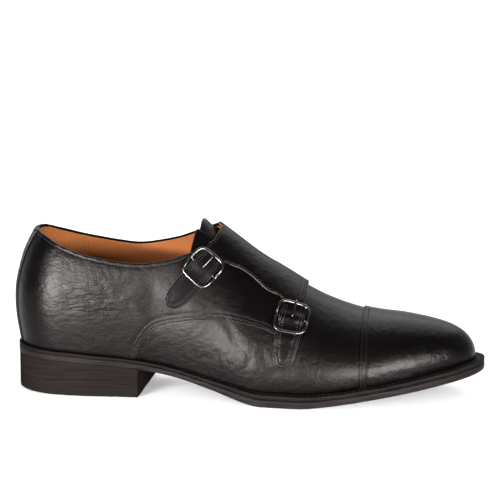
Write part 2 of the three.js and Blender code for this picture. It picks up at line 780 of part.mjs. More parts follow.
const leather = (roughness) => new THREE.MeshStandardMaterial({ color: 0x161417, roughness });
const tan = new THREE.MeshStandardMaterial({ color: 0xc08a4e, roughness: 0.6 });
const steel = new THREE.MeshStandardMaterial({ color: 0xb8b8ba, roughness: 0.25, metalness: 1 });
const shoe = new THREE.Group();
function add(name, solid, material) {
  const { vertProperties, triVerts } = solid.getMesh();
  const geometry = new THREE.BufferGeometry();
  geometry.setAttribute("position", new THREE.BufferAttribute(vertProperties, 3));
  geometry.setIndex(new THREE.BufferAttribute(triVerts, 1));
  const mesh = new THREE.Mesh(geometry, material);
  mesh.name = name;
  shoe.add(mesh);
}
add("upper", upper, leather(0.4));
add("medial_quarter", medialQuarter, leather(0.4));
add("toe_cap", toeCap, leather(0.35));
add("backstay", backstay, leather(0.4));
add("tongue", tongue, leather(0.5));
add("insole", insole, tan);
add("welt", welt, leather(0.5));
add("outsole", outsole, leather(0.6));
lifts.forEach((lift, i) => add(`heel_lift_${lifts.length - i}`, lift, leather(0.5)));
add("heel_top_piece", topPiece, leather(0.7));
add("rear_buckle", buckle(rearStrap), steel);
add("front_buckle", buckle(frontStrap), steel);
add("rear_prong", prong(rearStrap), steel);
add("front_prong", prong(frontStrap), steel);

// The origin is the middle of the shoe's box, on the floor.
const box = new THREE.Box3().setFromObject(shoe);
const middle = box.getCenter(new THREE.Vector3());
shoe.children.forEach((mesh) => mesh.geometry.translate(-middle.x, -middle.y, -box.min.z));

export default shoe;
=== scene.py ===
"""A double monk strap shoe for the right foot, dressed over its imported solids.

Sizes are in millimetres, as a shoemaker gives them, and are turned into metres of the shared
frame where a mesh is made: +X to the toe, +Y to the inner side, +Z up.
"""
import math

import bpy
import numpy as np
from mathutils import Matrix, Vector
from mathutils.geometry import delaunay_2d_cdt


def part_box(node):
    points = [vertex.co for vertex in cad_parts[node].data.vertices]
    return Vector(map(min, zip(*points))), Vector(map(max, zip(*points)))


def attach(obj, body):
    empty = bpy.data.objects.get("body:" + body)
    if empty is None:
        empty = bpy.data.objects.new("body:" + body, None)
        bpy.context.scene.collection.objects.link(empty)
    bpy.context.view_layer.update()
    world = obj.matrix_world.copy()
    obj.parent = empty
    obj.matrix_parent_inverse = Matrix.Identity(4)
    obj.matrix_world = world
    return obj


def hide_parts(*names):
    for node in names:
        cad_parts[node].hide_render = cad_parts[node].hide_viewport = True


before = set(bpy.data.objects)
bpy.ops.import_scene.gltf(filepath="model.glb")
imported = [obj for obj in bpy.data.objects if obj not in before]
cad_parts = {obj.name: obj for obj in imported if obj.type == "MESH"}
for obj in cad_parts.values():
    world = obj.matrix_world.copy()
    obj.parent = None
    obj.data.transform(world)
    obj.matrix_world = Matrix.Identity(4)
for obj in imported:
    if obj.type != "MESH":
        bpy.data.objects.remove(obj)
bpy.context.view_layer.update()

# The photographer's table
# A white sheet under and behind the shoe, one long lamp overhead and three low ones beside it, and
# a camera with a long lens, a little ahead of the shoe's middle and just above it.
CAMERA_TURN = 7.0
CAMERA_RISE = 10.0
CAMERA_AWAY = 1100.0
CAMERA_LENS = 125.0
AIM = (1.2, -0.95, 90.1)

turn, rise = math.radians(CAMERA_TURN), math.radians(CAMERA_RISE)
to_camera = Vector((math.sin(turn) * math.cos(rise), -math.cos(turn) * math.cos(rise), math.sin(rise)))
camera_data = bpy.data.cameras.new("camera")
camera_data.lens = CAMERA_LENS
camera_data.sensor_width = 36.0
camera_data.clip_end = 100.0
camera = bpy.data.objects.new("camera", camera_data)
camera.location = (Vector(AIM) + to_camera * CAMERA_AWAY) / 1000
camera.rotation_euler = to_camera.to_track_quat("Z", "Y").to_euler()
bpy.context.scene.collection.objects.link(camera)
bpy.context.scene.camera = camera


def lamp(name, place, aim, width, depth, watts):
    data = bpy.data.lights.new(name, "AREA")
    data.shape = "RECTANGLE"
    data.size, data.size_y = width, depth
    data.energy = watts
    light = bpy.data.objects.new(name, data)
    light.location = place
    light.rotation_euler = (Vector(place) - Vector(aim)).to_track_quat("Z", "Y").to_euler()
    bpy.context.scene.collection.objects.link(light)


lamp("overhead_lamp", (0.05, 0.6, 0.85), (0.02, 0, 0.06), width=1.3, depth=0.8, watts=8.6)
lamp("side_lamp", (-0.45, -0.8, 0.27), (-0.08, 0, 0.06), width=0.44, depth=0.28, watts=7.5)
lamp("heel_lamp", (-0.45, -0.8, 0.11), (-0.1, 0, 0.05), width=0.34, depth=0.08, watts=22)
lamp("front_lamp", (0.42, -0.62, 0.1), (0.1, 0, 0.03), width=0.6, depth=0.14, watts=20)
bpy.context.scene.view_settings.view_transform = "Standard"


class Value:
    """A socket of a node, for writing shader maths as sums and products."""

    def __init__(self, finish, socket):
        self.finish, self.socket = finish, socket

    def _maths(self, operation, first, second):
        return self.finish.node("Math", {"operation": operation}, {0: first, 1: second})["Value"]

    def __add__(self, other):
        return self._maths("ADD", self, other)

    def __mul__(self, other):
        return self._maths("MULTIPLY", self, other)

    def __sub__(self, other):
        return self._maths("SUBTRACT", self, other)

    def __rsub__(self, other):
        return self._maths("SUBTRACT", other, self)

    __radd__ = __add__
    __rmul__ = __mul__

    def clamped(self):
        return self._maths("MAXIMUM", self._maths("MINIMUM", self, 1.0), 0.0)


class Made:
    """A node that was made, whose outputs are read by name or number as Values."""

    def __init__(self, finish, made):
        self.finish, self.made = finish, made

    def __getitem__(self, name):
        return Value(self.finish, self.made.outputs[name])


class Nodes:
    """A node tree under construction."""

    def __init__(self, tree):
        self.tree = tree

    def node(self, kind, settings=(), inputs=()):
        made = self.tree.nodes.new("ShaderNode" + kind)
        for name, value in dict(settings).items():
            setattr(made, name, value)
        for name, value in dict(inputs).items():
            self.feed(made.inputs[name], value)
        return Made(self, made)

    def feed(self, socket, value):
        if isinstance(value, Value):
            self.tree.links.new(value.socket, socket)
        elif isinstance(value, tuple) and len(value) == 3 and socket.type == "RGBA":
            socket.default_value = (*value, 1)
        else:
            socket.default_value = value

    def place(self):
        return self.node("TexCoord")["Object"]

    def near(self, centre, size):
        """A soft patch, 1 at its centre and 0 at its rim, placed in the shoe's own metres."""
        spot = {"Vector": self.place(), "Location": centre, "Scale": size}
        made = self.node("Mapping", {"vector_type": "TEXTURE"}, spot)
        return self.node("TexGradient", {"gradient_type": "SPHERICAL"}, {"Vector": made["Vector"]})["Fac"]

    def noise(self, scale, detail=3.0, stretch=(1, 1, 1), rough=0.5):
        at = self.node("Mapping", {}, {"Vector": self.place(), "Scale": stretch})["Vector"]
        made = self.node("TexNoise", {}, {"Vector": at, "Scale": scale, "Detail": detail, "Roughness": rough})
        return made["Fac"]

    def mix(self, share, first, second):
        return self.node("Mix", {"data_type": "RGBA"}, {0: share, 6: first, 7: second})[2]

    def bump(self, height, strength, distance, under=None):
        inputs = {"Height": height, "Strength": strength, "Distance": distance}
        if under is not None:
            inputs["Normal"] = under
        return self.node("Bump", {}, inputs)["Normal"]


class Finish(Nodes):
    """A material under construction, with its one Principled shader."""

    def __init__(self, name):
        self.material = bpy.data.materials.new(name)
        self.material.use_nodes = True
        super().__init__(self.material.node_tree)
        self.shader = self.tree.nodes["Principled BSDF"]

    def set(self, **inputs):
        for name, value in inputs.items():
            self.feed(self.shader.inputs[name.replace("_", " ")], value)


# The room is pale behind the shoe and dim on the camera's side, so that the leather stays black.
def grey(level):
    return level, level, level


world = bpy.data.worlds.new("studio")
bpy.context.scene.world = world
world.use_nodes = True
room = Nodes(world.node_tree)
room_y = room.node("SeparateXYZ", {}, {"Vector": room.node("TexCoord")["Generated"]})["Y"]
room_light = room.mix((room_y * 1.6 + 0.05).clamped(), grey(0.24), grey(0.8))
room.feed(world.node_tree.nodes["Background"].inputs["Color"], room_light)

# Painted light: the sheet glows a little by itself, standing in for lamplight, behind the shoe and in
# front of the toe, where the low lamps don't reach it. Well in front of the shoe it darkens: painted shade.
sheet = Finish("white_sheet")
spot = sheet.node("SeparateXYZ", {}, {"Vector": sheet.place()})
behind = (spot["Y"] * 2.2 - 0.1).clamped()
in_front = (spot["Y"] * -9.0 - 1.0).clamped() * (spot["X"] * 4.0 + 0.5).clamped()
painted_shade_far_front = (spot["Y"] * -12.0 - 3.0).clamped()
painted_sheet_light = sheet.mix(behind, grey(0.14), grey(0.72))
painted_sheet_light = sheet.mix(in_front, painted_sheet_light, (0.8, 0.78, 0.77))
painted_sheet_light = sheet.mix(painted_shade_far_front, painted_sheet_light, grey(0.22))
# Painted shade: the sheet's own colour turns dark well in front of the shoe, as does its glow above.
sheet_white_and_painted_shade = sheet.mix(painted_shade_far_front, grey(0.8), grey(0.1))
sheet.set(Base_Color=sheet_white_and_painted_shade, Roughness=0.6, Emission_Color=painted_sheet_light, Emission_Strength=1.0)
bpy.ops.mesh.primitive_plane_add(size=40)
floor = bpy.context.object
floor.name = "floor"
floor.data.materials.append(sheet.material)

# Outsole
# One leather sole from heel seat to toe, blackened and waxed round its edge. It lies flat under
# the ball of the foot, rises through the waist to the heel and springs up towards the toe.
SOLE_LENGTH = 300.0
BALL_WIDTH = 100.0
HEEL_HEIGHT = 24.0
TOE_SPRING = 17.0
SOLE_THICK = 4.6
WELT_THICK = 2.8
SEAT_GAP = 0.3
SOLE_BACK = 0.005
HEEL_ROUND = (0.11, 2.2)
TOE_ROUND = (0.235, 2.05)


def table(columns, *rows):
    return {name: np.array(column, float) for name, column in zip(columns.split(), zip(*rows))}


SOLE = table(
    "at lateral medial centre rise spring edge",
    (0.0, 0.66, 0.66, 0, 1.0, 0, 0.8),
    (0.1, 0.66, 0.66, 0, 0.93, 0, 0.78),
    (0.17, 0.66, 0.66, 0, 0.865, 0, 0.75),
    (0.25, 0.645, 0.62, 0, 0.79, 0, 0.73),
    (0.32, 0.65, 0.575, 0, 0.675, 0, 0.72),
    (0.37, 0.69, 0.555, 0, 0.555, 0, 0.7),
    (0.43, 0.765, 0.56, 0, 0.355, 0, 0.78),
    (0.48, 0.85, 0.61, 0, 0.17, 0, 0.95),
    (0.515, 0.91, 0.66, 0, 0.045, 0, 1.05),
    (0.545, 0.945, 0.72, 0, 0, 0, 1.05),
    (0.62, 0.99, 0.895, 0.003, 0, 0, 1.0),
    (0.667, 0.99, 0.98, 0.004, 0, 0.075, 0.97),
    (0.72, 0.96, 1.01, 0.006, 0, 0.205, 0.93),
    (0.77, 0.905, 0.995, 0.01, 0, 0.335, 0.92),
    (0.83, 0.84, 0.935, 0.016, 0, 0.495, 0.95),
    (0.9, 0.78, 0.855, 0.025, 0, 0.695, 0.98),
    (0.95, 0.75, 0.8, 0.033, 0, 0.84, 1.0),
    (1.0, 0.74, 0.76, 0.042, 0, 1.0, 1.0),
)


def read(rows, column, at, key="at"):
    """Smooth reading of a table's column between its rows."""
    x, y = rows[key], rows[column]
    slope = np.empty_like(y)
    slope[1:-1] = (y[2:] - y[:-2]) / (x[2:] - x[:-2])
    slope[0] = (y[1] - y[0]) / (x[1] - x[0])
    slope[-1] = (y[-1] - y[-2]) / (x[-1] - x[-2])
    at = np.clip(np.asarray(at, float), x[0], x[-1])
    i = np.clip(np.searchsorted(x, at, side="left") - 1, 0, len(x) - 2)
    span = x[i + 1] - x[i]
    f = (at - x[i]) / span
    return (
        y[i] * (2 * f**3 - 3 * f**2 + 1)
        + y[i + 1] * (3 * f**2 - 2 * f**3)
        + slope[i] * span * (f**3 - 2 * f**2 + f)
        + slope[i + 1] * span * (f**3 - f**2)
    )


def rounded(distance, length, power):
    left = np.clip(1 - np.maximum(distance, 0) / length, 0, 1)
    return (1 - left**power) ** (1 / power)


def sole_half(x, side):
    at = np.asarray(x, float) / SOLE_LENGTH
    width = np.where(side < 0, read(SOLE, "lateral", at), read(SOLE, "medial", at))
    return width * BALL_WIDTH / 2 * rounded(at - SOLE_BACK, *HEEL_ROUND) * rounded(1 - at, *TOE_ROUND)


def sole_middle(x):
    return read(SOLE, "centre", np.asarray(x, float) / SOLE_LENGTH) * BALL_WIDTH


def edge_share(x):
    return read(SOLE, "edge", np.asarray(x, float) / SOLE_LENGTH)


def sole_bottom(x):
    at = np.asarray(x, float) / SOLE_LENGTH
    heel = HEEL_HEIGHT * np.maximum(0, read(SOLE, "rise", at))
    return heel + TOE_SPRING * np.maximum(0, read(SOLE, "spring", at))


def sole_top(x):
    return sole_bottom(x) + SOLE_THICK * edge_share(x)


def welt_bottom(x):
    return sole_top(x) + SEAT_GAP


def welt_top(x):
    return welt_bottom(x) + WELT_THICK * edge_share(x)


def feather_height(x):
    return welt_top(x) + SEAT_GAP


def unit(vectors):
    return vectors / np.maximum(np.linalg.norm(vectors, axis=1, keepdims=True), 1e-12)


def leftward(along):
    return np.stack([-along[:, 1], along[:, 0]], 1)


def sole_loop(height, inset=0.0):
    """The sole's plan as a closed loop at a height and drawn in by an inset."""
    # Lengths along the shoe lie close together where the plan rounds off at heel and toe.
    quarter = np.linspace(0, np.pi / 2, 70)
    back = SOLE_BACK + HEEL_ROUND[0] * (1 - np.cos(quarter))
    front = 1 - TOE_ROUND[0] * (1 - np.cos(quarter[::-1]))
    waist = np.linspace(back[-1], front[0], 150)[:-1]
    xs = SOLE_LENGTH * np.concatenate([back[:-1], waist, front])
    out = np.stack([xs, sole_middle(xs) - sole_half(xs, -1)], 1)
    home = np.stack([xs, sole_middle(xs) + sole_half(xs, 1)], 1)[::-1][1:-1]
    ring = np.concatenate([out, home])
    along = unit(np.roll(ring, -1, 0) - np.roll(ring, 1, 0))
    inset = inset(ring[:, :1]) if callable(inset) else inset
    moved = ring + leftward(along) * inset
    z = height(np.clip(moved[:, 0], 0, SOLE_LENGTH))
    return np.column_stack([moved, z * np.ones(len(moved))])


box_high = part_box("outsole")[1]
plan = sole_loop(sole_bottom)
ORIGIN = np.array([box_high.x * 1000 - SOLE_LENGTH, box_high.y * 1000 - plan[:, 1].max(), 0.0])


def mesh(name, points, faces, finish):
    """A mesh object from points in millimetres of the shoe."""
    data = bpy.data.meshes.new(name)
    data.from_pydata(((np.asarray(points) + ORIGIN) / 1000).tolist(), [], [tuple(map(int, f)) for f in faces])
    data.update()
    data.shade_smooth()
    data.materials.append(finish.material)
    made = bpy.data.objects.new(name, data)
    bpy.context.scene.collection.objects.link(made)
    return made


def skin(loops, closed=False):
    """Faces between stacked loops of equal count."""
    count, n = len(loops), len(loops[0])
    faces = []
    for k in range(count if closed else count - 1):
        l = (k + 1) % count
        for i in range(n):
            j = (i + 1) % n
            faces.append((k * n + i, k * n + j, l * n + j, l * n + i))
    return faces


def lid(base, n, turned):
    """Faces across a loop that runs up one side of the shoe and back down the other."""
    faces = []
    for i in range(n // 2):
        quad = [base + k % n for k in (i, n - i, n - i - 1, i + 1)]
        quad = list(dict.fromkeys(quad))
        if len(quad) > 2:
            faces.append(tuple(quad[::-1] if turned else quad))
    return faces


def plate(name, loops, finish):
    n = len(loops[0])
    faces = skin(loops) + lid(0, n, False) + lid((len(loops) - 1) * n, n, True)
    return mesh(name, np.concatenate(loops), faces, finish)


def raised(height, by):
    return lambda x: height(x) + by


def edge_finish(name, colour, worn, gloss, streak, level=0.04):
    """Blackened, burnished leather edge: fine streaks along it and a waxy shine."""
    finish = Finish(name)
    streaks = finish.noise(streak, 4.0, (0.12, 0.12, 3.0))
    patches = finish.noise(38.0, 2.0)
    tint = finish.mix((streaks * 1.8 + patches * 0.6 - 0.8).clamped(), colour, worn)
    finish.set(Base_Color=tint, Roughness=(gloss + patches * 0.22).clamped())
    finish.set(Normal=finish.bump(streaks, 0.6, 0.0006), Specular_IOR_Level=level)
    return finish


def eased(amount):
    """Rounding of an edge, nearly square round the heel seat and full from the waist forward."""
    return lambda x: amount * (0.22 + 0.78 * np.clip((x - 78) / 25, 0, 1))


def stacked(loop, rows):
    """Loops of one plan: each row is a height along it, what is added to that, and an inset."""
    return [loop(raised(height, by), inset) for height, by, inset in rows]


def dress(piece, node):
    """The piece rides on the shoe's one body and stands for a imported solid."""
    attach(piece, "root")
    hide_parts(node)


sole_finish = edge_finish("sole_edge", (0.002, 0.0017, 0.0016), (0.012, 0.0095, 0.009), 0.42, 260.0)
sole_rows = [
    (sole_bottom, 0, 5.0),
    (sole_bottom, 0, eased(1.4)),
    (sole_bottom, 0.12, eased(0.7)),
    (sole_bottom, 0.4, eased(0.25)),
    (sole_bottom, 1.0, 0.0),
    (sole_top, -0.7, 0.0),
    (sole_top, -0.3, eased(0.12)),
    (sole_top, 0, eased(0.5)),
    (sole_top, 0.05, 1.6),
]
dress(plate("outsole_leather", stacked(sole_loop, sole_rows), sole_finish), "outsole")

# Welt
# The strip of leather sewn between upper and sole, trimmed level with the sole's edge. It runs
# on round the heel as a thin rand, and its stitches show on top as a row of small pricks.
WELT_WIDTH = 11.0

welt_finish = edge_finish("welt_edge", (0.001, 0.0009, 0.0009), (0.007, 0.0055, 0.005), 0.5, 240.0)
welt_rows = [
    (welt_bottom, 0, WELT_WIDTH),
    (welt_bottom, 0, eased(0.9)),
    (welt_bottom, 0.1, eased(0.35)),
    (welt_bottom, 0.45, eased(0.05)),
    (welt_top, -0.6, 0.02),
    (welt_top, -0.22, 0.16),
    (welt_top, -0.03, 0.55),
    (welt_top, 0, 1.3),
    (welt_top, 0, WELT_WIDTH),
]
welt_loops = stacked(sole_loop, welt_rows)
welt = mesh("welt_strip", np.concatenate(welt_loops), skin(welt_loops, closed=True), welt_finish)
dress(welt, "welt")

# Heel
# Three lifts of stacked leather, the top one skived to the pitch of the sole, and a top piece of
# rubber. Their side is glassed, stained and waxed, so the joints show only as fine lines.
HEEL_LENGTH = 84.0
TOP_PIECE = 6.0
LIFT = 4.5
HEEL_INSET = 0.2
HEEL_EASE = 0.05
TREAD_LIFT = (0.62 * HEEL_LENGTH, 1.9)

heel_dye = (0.0045, 0.0036, 0.0034), (0.0095, 0.0075, 0.007)
heel_finish = edge_finish("stacked_leather", *heel_dye, 0.5, 300.0, 0.0)
rubber = Finish("top_piece_rubber")
speckle = rubber.noise(900.0, 2.0)
rubber.set(Base_Color=rubber.mix(speckle, (0.004, 0.0031, 0.003), (0.009, 0.0072, 0.0068)), Roughness=0.6)
rubber.set(Normal=rubber.bump(speckle, 0.25, 0.0003), Specular_IOR_Level=0.0)


def level(z):
    return lambda x: np.full(np.shape(x), z)


def tread(x):
    """The top piece's underside, lifted a little at the back."""
    length, rise = TREAD_LIFT
    return rise * np.maximum(0, 1 - np.asarray(x, float) / length) ** 1.5


# The breast's eased corner: how far behind the breast and inside the heel's side.
BREAST_CORNER = [(0.42, 0.03), (0.2, 0.12), (0.06, 0.3), (0.0, 0.55), (0.0, 0.8), (0.0, 1.4)]


def heel_loop(height, inset):
    """The heel's plan: the sole's edge from the back to a straight breast with eased corners."""
    turn = np.linspace(0, np.pi / 2, 60)
    run = HEEL_ROUND[0] * SOLE_LENGTH
    back = SOLE_BACK * SOLE_LENGTH
    xs = np.concatenate([back + run * (1 - np.cos(turn)), np.linspace(back + run, HEEL_LENGTH - 0.5, 40)[1:]])
    half = sole_half(xs, -1)
    half[0] = 0
    wide = half[-1]
    corner = [(HEEL_LENGTH - x, wide - y) for x, y in BREAST_CORNER]
    breast = [(HEEL_LENGTH, wide * share) for share in (0.7, 0.35, 0.0)]
    side = np.concatenate([np.stack([xs, half], 1), corner, breast])
    ring = np.concatenate([side * (1, -1), side[::-1][1:-1]])
    ahead = unit(np.roll(ring, -1, 0) - ring)
    moved = ring + leftward(unit(ahead + np.roll(ahead, 1, 0))) * inset
    return np.column_stack([moved, height(ring[:, 0]) * np.ones(len(ring))])


def heel_piece(name, node, bottom, top, finish):
    ease = HEEL_EASE
    steps = [(0, 4.0), (0, ease * 2), (0, ease), (ease, 0), (ease * 2.5, 0)]
    rows = [(bottom, up, HEEL_INSET + inset) for up, inset in steps]
    rows += [(top, -up, HEEL_INSET + inset) for up, inset in steps[::-1]]
    dress(plate(name, stacked(heel_loop, rows), finish), node)


first_lift = TOP_PIECE + SEAT_GAP / 2
wedge_bottom = first_lift + 2 * LIFT
lift_top = LIFT - SEAT_GAP / 2


def wedge_top(x):
    return np.maximum(wedge_bottom + 1, sole_bottom(x) - 0.08)


heel_piece("top_piece", "heel_top_piece", tread, level(TOP_PIECE), rubber)
for number, z, top in (
    (3, first_lift, level(first_lift + lift_top)),
    (2, first_lift + LIFT, level(first_lift + LIFT + lift_top)),
    (1, wedge_bottom, wedge_top),
):
    heel_piece(f"lift_{number}", f"heel_lift_{number}", level(z - 0.1), top, heel_finish)

# Vamp
# The front of the upper, one piece of black calf from the waist to the toe, pulled over the last
# while damp. Everything above the welt follows that last, given here by its cross-sections.
INSTEP_RISE = 90.0
BACK_RISE = 72.5
UPPER_WALL = 1.5
LAST_BACK = 0.0125 * SOLE_LENGTH
LAST_TOE = 0.977 * SOLE_LENGTH
CROWN_ROUND = (0.113, 2.3)
BACK_FADE = 0.34

LAST = table(
    "at inset lean_out lean_in ridge shift side top",
    (0.0, 0.03, 0.12, 0.12, 1.05, 0, 0.52, 0.62),
    (0.12, 0.03, 0.12, 0.12, 1.09, 0, 0.52, 0.62),
    (0.25, 0.035, 0.14, 0.16, 1.13, 0, 0.5, 0.62),
    (0.34, 0.045, 0.16, 0.24, 1.14, 0, 0.48, 0.6),
    (0.4, 0.055, 0.16, 0.3, 1.075, 0.003, 0.47, 0.54),
    (0.443, 0.065, 0.15, 0.3, 1.007, 0.006, 0.46, 0.48),
    (0.5, 0.08, 0.14, 0.26, 0.905, 0.012, 0.45, 0.44),
    (0.567, 0.095, 0.14, 0.19, 0.785, 0.02, 0.45, 0.44),
    (0.62, 0.1, 0.14, 0.15, 0.678, 0.026, 0.45, 0.47),
    (0.667, 0.1, 0.13, 0.13, 0.584, 0.028, 0.46, 0.5),
    (0.72, 0.105, 0.12, 0.12, 0.497, 0.026, 0.48, 0.54),
    (0.77, 0.105, 0.11, 0.11, 0.433, 0.022, 0.5, 0.57),
    (0.83, 0.105, 0.1, 0.1, 0.379, 0.015, 0.52, 0.6),
    (0.9, 0.105, 0.09, 0.09, 0.306, 0.007, 0.54, 0.62),
    (1.0, 0.105, 0.08, 0.08, 0.25, 0, 0.55, 0.62),
)
BACK = table(
    "up forward",
    (-0.2, 0.004),
    (0.0, 0.0035),
    (0.12, -0.001),
    (0.24, -0.0055),
    (0.38, -0.0075),
    (0.52, -0.005),
    (0.66, 0.003),
    (0.8, 0.014),
    (0.92, 0.029),
    (1.0, 0.041),
    (1.4, 0.1),
)
seat_height = float(feather_height(0.0))


def back_shift(x, z):
    fade = np.maximum(0, 1 - x / SOLE_LENGTH / BACK_FADE) ** 2
    return read(BACK, "forward", (z - seat_height) / BACK_RISE, key="up") * SOLE_LENGTH * fade


def last_point(x, side, t):
    """A point of the last: x along it, side -1 or 1, t from the feather line (0) to the ridge (1)."""
    x, side, t = np.broadcast_arrays(np.asarray(x, float), side, t)
    at = x / SOLE_LENGTH
    half = BALL_WIDTH / 2
    on_sole = (SOLE_BACK + (x - LAST_BACK) / (LAST_TOE - LAST_BACK) * (1 - SOLE_BACK)) * SOLE_LENGTH
    closed = sole_half(on_sole, side)
    taper = np.minimum(1, closed / (0.6 * half))
    foot = closed - read(LAST, "inset", at) * half * taper
    lean = np.where(side < 0, read(LAST, "lean_out", at), read(LAST, "lean_in", at)) * half * taper
    rise = read(LAST, "ridge", at) * INSTEP_RISE * rounded(LAST_TOE / SOLE_LENGTH - at, *CROWN_ROUND)
    bottom = feather_height(x)
    middle = sole_middle(x)
    ridge_y = middle + read(LAST, "shift", at) * BALL_WIDTH * taper
    foot_y = middle + side * foot
    flank, crown = read(LAST, "side", at), read(LAST, "top", at)
    s = 1 - t
    weights = (s**3, 3 * s * s * t, 3 * s * t * t, t**3)
    ys = (foot_y, foot_y + side * lean, ridge_y + crown * (foot_y - ridge_y), ridge_y)
    zs = (bottom, bottom + flank * rise, bottom + rise, bottom + rise)
    y = sum(w * v for w, v in zip(weights, ys))
    z = sum(w * v for w, v in zip(weights, zs))
    return np.stack([x + back_shift(x, z), y, z], -1)


# A place on the last is (p, q): p in millimetres along it from the back line, slowed where it
# rounds off, and q round it, from -GIRTH at the lateral feather line over the ridge to GIRTH.
GIRTH = 90.0
heel_run = HEEL_ROUND[0] * SOLE_LENGTH
toe_run = TOE_ROUND[0] * SOLE_LENGTH
p_heel = heel_run * math.pi / 2
p_toe = p_heel + (LAST_TOE - LAST_BACK - heel_run - toe_run)
P_END = p_toe + toe_run * math.pi / 2


def x_at(p):
    p = np.clip(np.asarray(p, float), 0, P_END)
    heel = LAST_BACK + heel_run * (1 - np.cos(np.minimum(p, p_heel) / heel_run))
    toe = LAST_TOE - toe_run * (1 - np.cos(np.minimum(P_END - p, P_END - p_toe) / toe_run))
    return np.where(p < p_heel, heel, np.where(p < p_toe, LAST_BACK + heel_run + p - p_heel, toe))


def p_at(x):
    x = np.asarray(x, float)
    heel = heel_run * np.arccos(np.clip(1 - (x - LAST_BACK) / heel_run, -1, 1))
    toe = P_END - toe_run * np.arccos(np.clip(1 - (LAST_TOE - x) / toe_run, -1, 1))
    middle = x - LAST_BACK - heel_run + p_heel
    return np.where(x < LAST_BACK + heel_run, heel, np.where(x < LAST_TOE - toe_run, middle, toe))


def on_last(pq, height=0.0):
    """Points over the last at places (p, q)."""
    pq = np.asarray(pq, float)
    p, g = np.clip(pq[:, 0], 0, P_END), np.clip(pq[:, 1] / GIRTH, -1, 1)

    def raw(p, g):
        return last_point(x_at(p), np.where(g < 0, -1, 1), 1 - np.abs(g))

    step, turn = 0.05, 0.0008
    p0, p1 = np.maximum(p - step, 0), np.minimum(p + step, P_END - 0.02)
    p0 = np.minimum(p0, P_END - 0.4)
    along = raw(p1, g) - raw(p0, g)
    pm = np.minimum(p, P_END - 0.3)
    across = raw(pm, np.minimum(g + turn, 1)) - raw(pm, np.maximum(g - turn, -1))
    normal = unit(np.cross(along, across))
    return raw(p, g) + normal * np.reshape(height, (-1, 1))


def on_back(ut, height=0.0):
    """Points over the last at (u, t): u round the back line, minus on the lateral side, t upwards."""
    ut = np.asarray(ut, float)
    side = np.where(ut[:, 0] < 0, -1, 1)
    return on_last(np.stack([np.abs(ut[:, 0]), side * (GIRTH - ut[:, 1])], 1), height)


def halved(low, high, short):
    """The end of the stretch in which short(value) holds, found by halving."""
    for _ in range(40):
        middle = (low + high) / 2
        on = short(middle)
        low, high = np.where(on, middle, low), np.where(on, high, middle)
    return low


def share_up(x, side, z, most=1.0):
    """How far up the last, from feather line (0) to ridge (1), a height is reached at x."""
    return halved(np.zeros(len(x)), most, lambda t: last_point(x, side, t)[:, 2] < z)


def seen(side, rows):
    """Places on the last from shares of the sole's length and of the back's height, seen sideways."""
    rows = np.asarray(rows, float)
    across, up = rows[:, 0] * SOLE_LENGTH, seat_height + rows[:, 1] * BACK_RISE
    x = across.copy()
    for _ in range(8):
        x = across - back_shift(x, up)
    x = np.clip(x, LAST_BACK, LAST_TOE)
    return np.stack([p_at(x), side * (1 - share_up(x, side, up)) * GIRTH], 1)


def curve(points, count):
    """An even, smooth line through given points."""
    points = np.asarray(points, float)
    at = np.linspace(0, len(points) - 1, count)
    i = np.clip(at.astype(int), 0, len(points) - 2)
    f = (at - i)[:, None]
    p0, p1 = points[np.maximum(i - 1, 0)], points[i]
    p2, p3 = points[i + 1], points[np.minimum(i + 2, len(points) - 1)]
    v0, v1 = (p2 - p0) / 2, (p3 - p1) / 2
    return (2 * p1 - 2 * p2 + v0 + v1) * f**3 + (-3 * p1 + 3 * p2 - 2 * v0 - v1) * f**2 + v0 * f + p1


def lengths_along(line):
    return np.concatenate([[0], np.cumsum(np.linalg.norm(np.diff(line, axis=0), axis=1))])


def resample(line, spacing):
    """A line's points at even distances along it."""
    line = np.asarray(line, float)
    lengths = lengths_along(line)
    count = max(2, int(round(lengths[-1] / spacing)) + 1)
    at = np.linspace(0, lengths[-1], count)
    return np.stack([np.interp(at, lengths, line[:, k]) for k in range(line.shape[1])], 1)


def outline(*sides, spacing=1.0):
    """One closed outline from the sides of a leather piece, each resampled by itself."""
    return np.concatenate([resample(side, spacing)[:-1] for side in sides])


def to_line(points, line, closed=False):
    """Distance from each point to a line, in the flat."""
    a = line if closed else line[:-1]
    b = np.roll(line, -1, 0) if closed else line[1:]
    best = np.full(len(points), 1e9)
    for start in range(0, len(points), 2000):
        block = points[start : start + 2000, None, :]
        d = b - a
        f = np.clip(((block - a) * d).sum(2) / np.maximum((d * d).sum(1), 1e-12), 0, 1)
        gap = np.linalg.norm(block - (a + f[..., None] * d), axis=2)
        best[start : start + 2000] = gap.min(1)
    return best


def within(points, ring):
    inside = np.zeros(len(points), bool)
    a, b = ring, np.roll(ring, -1, 0)
    for (x0, y0), (x1, y1) in zip(a, b):
        crosses = (y0 > points[:, 1]) != (y1 > points[:, 1])
        if y0 != y1:
            inside ^= crosses & (points[:, 0] < (x1 - x0) * (points[:, 1] - y0) / (y1 - y0) + x0)
    return inside


def inward(ring, by):
    """A closed outline drawn in by a distance."""
    ahead = np.roll(ring, -1, 0)
    area = np.sum(ring[:, 0] * ahead[:, 1] - ahead[:, 0] * ring[:, 1])
    return ring + leftward(unit(ahead - np.roll(ring, 1, 0))) * (by if area > 0 else -by)


def used_only(points, faces):
    """Points and faces without the points that no face uses."""
    used = np.unique(faces)
    index = np.full(len(points), -1)
    index[used] = np.arange(len(used))
    return points[used], index[faces]


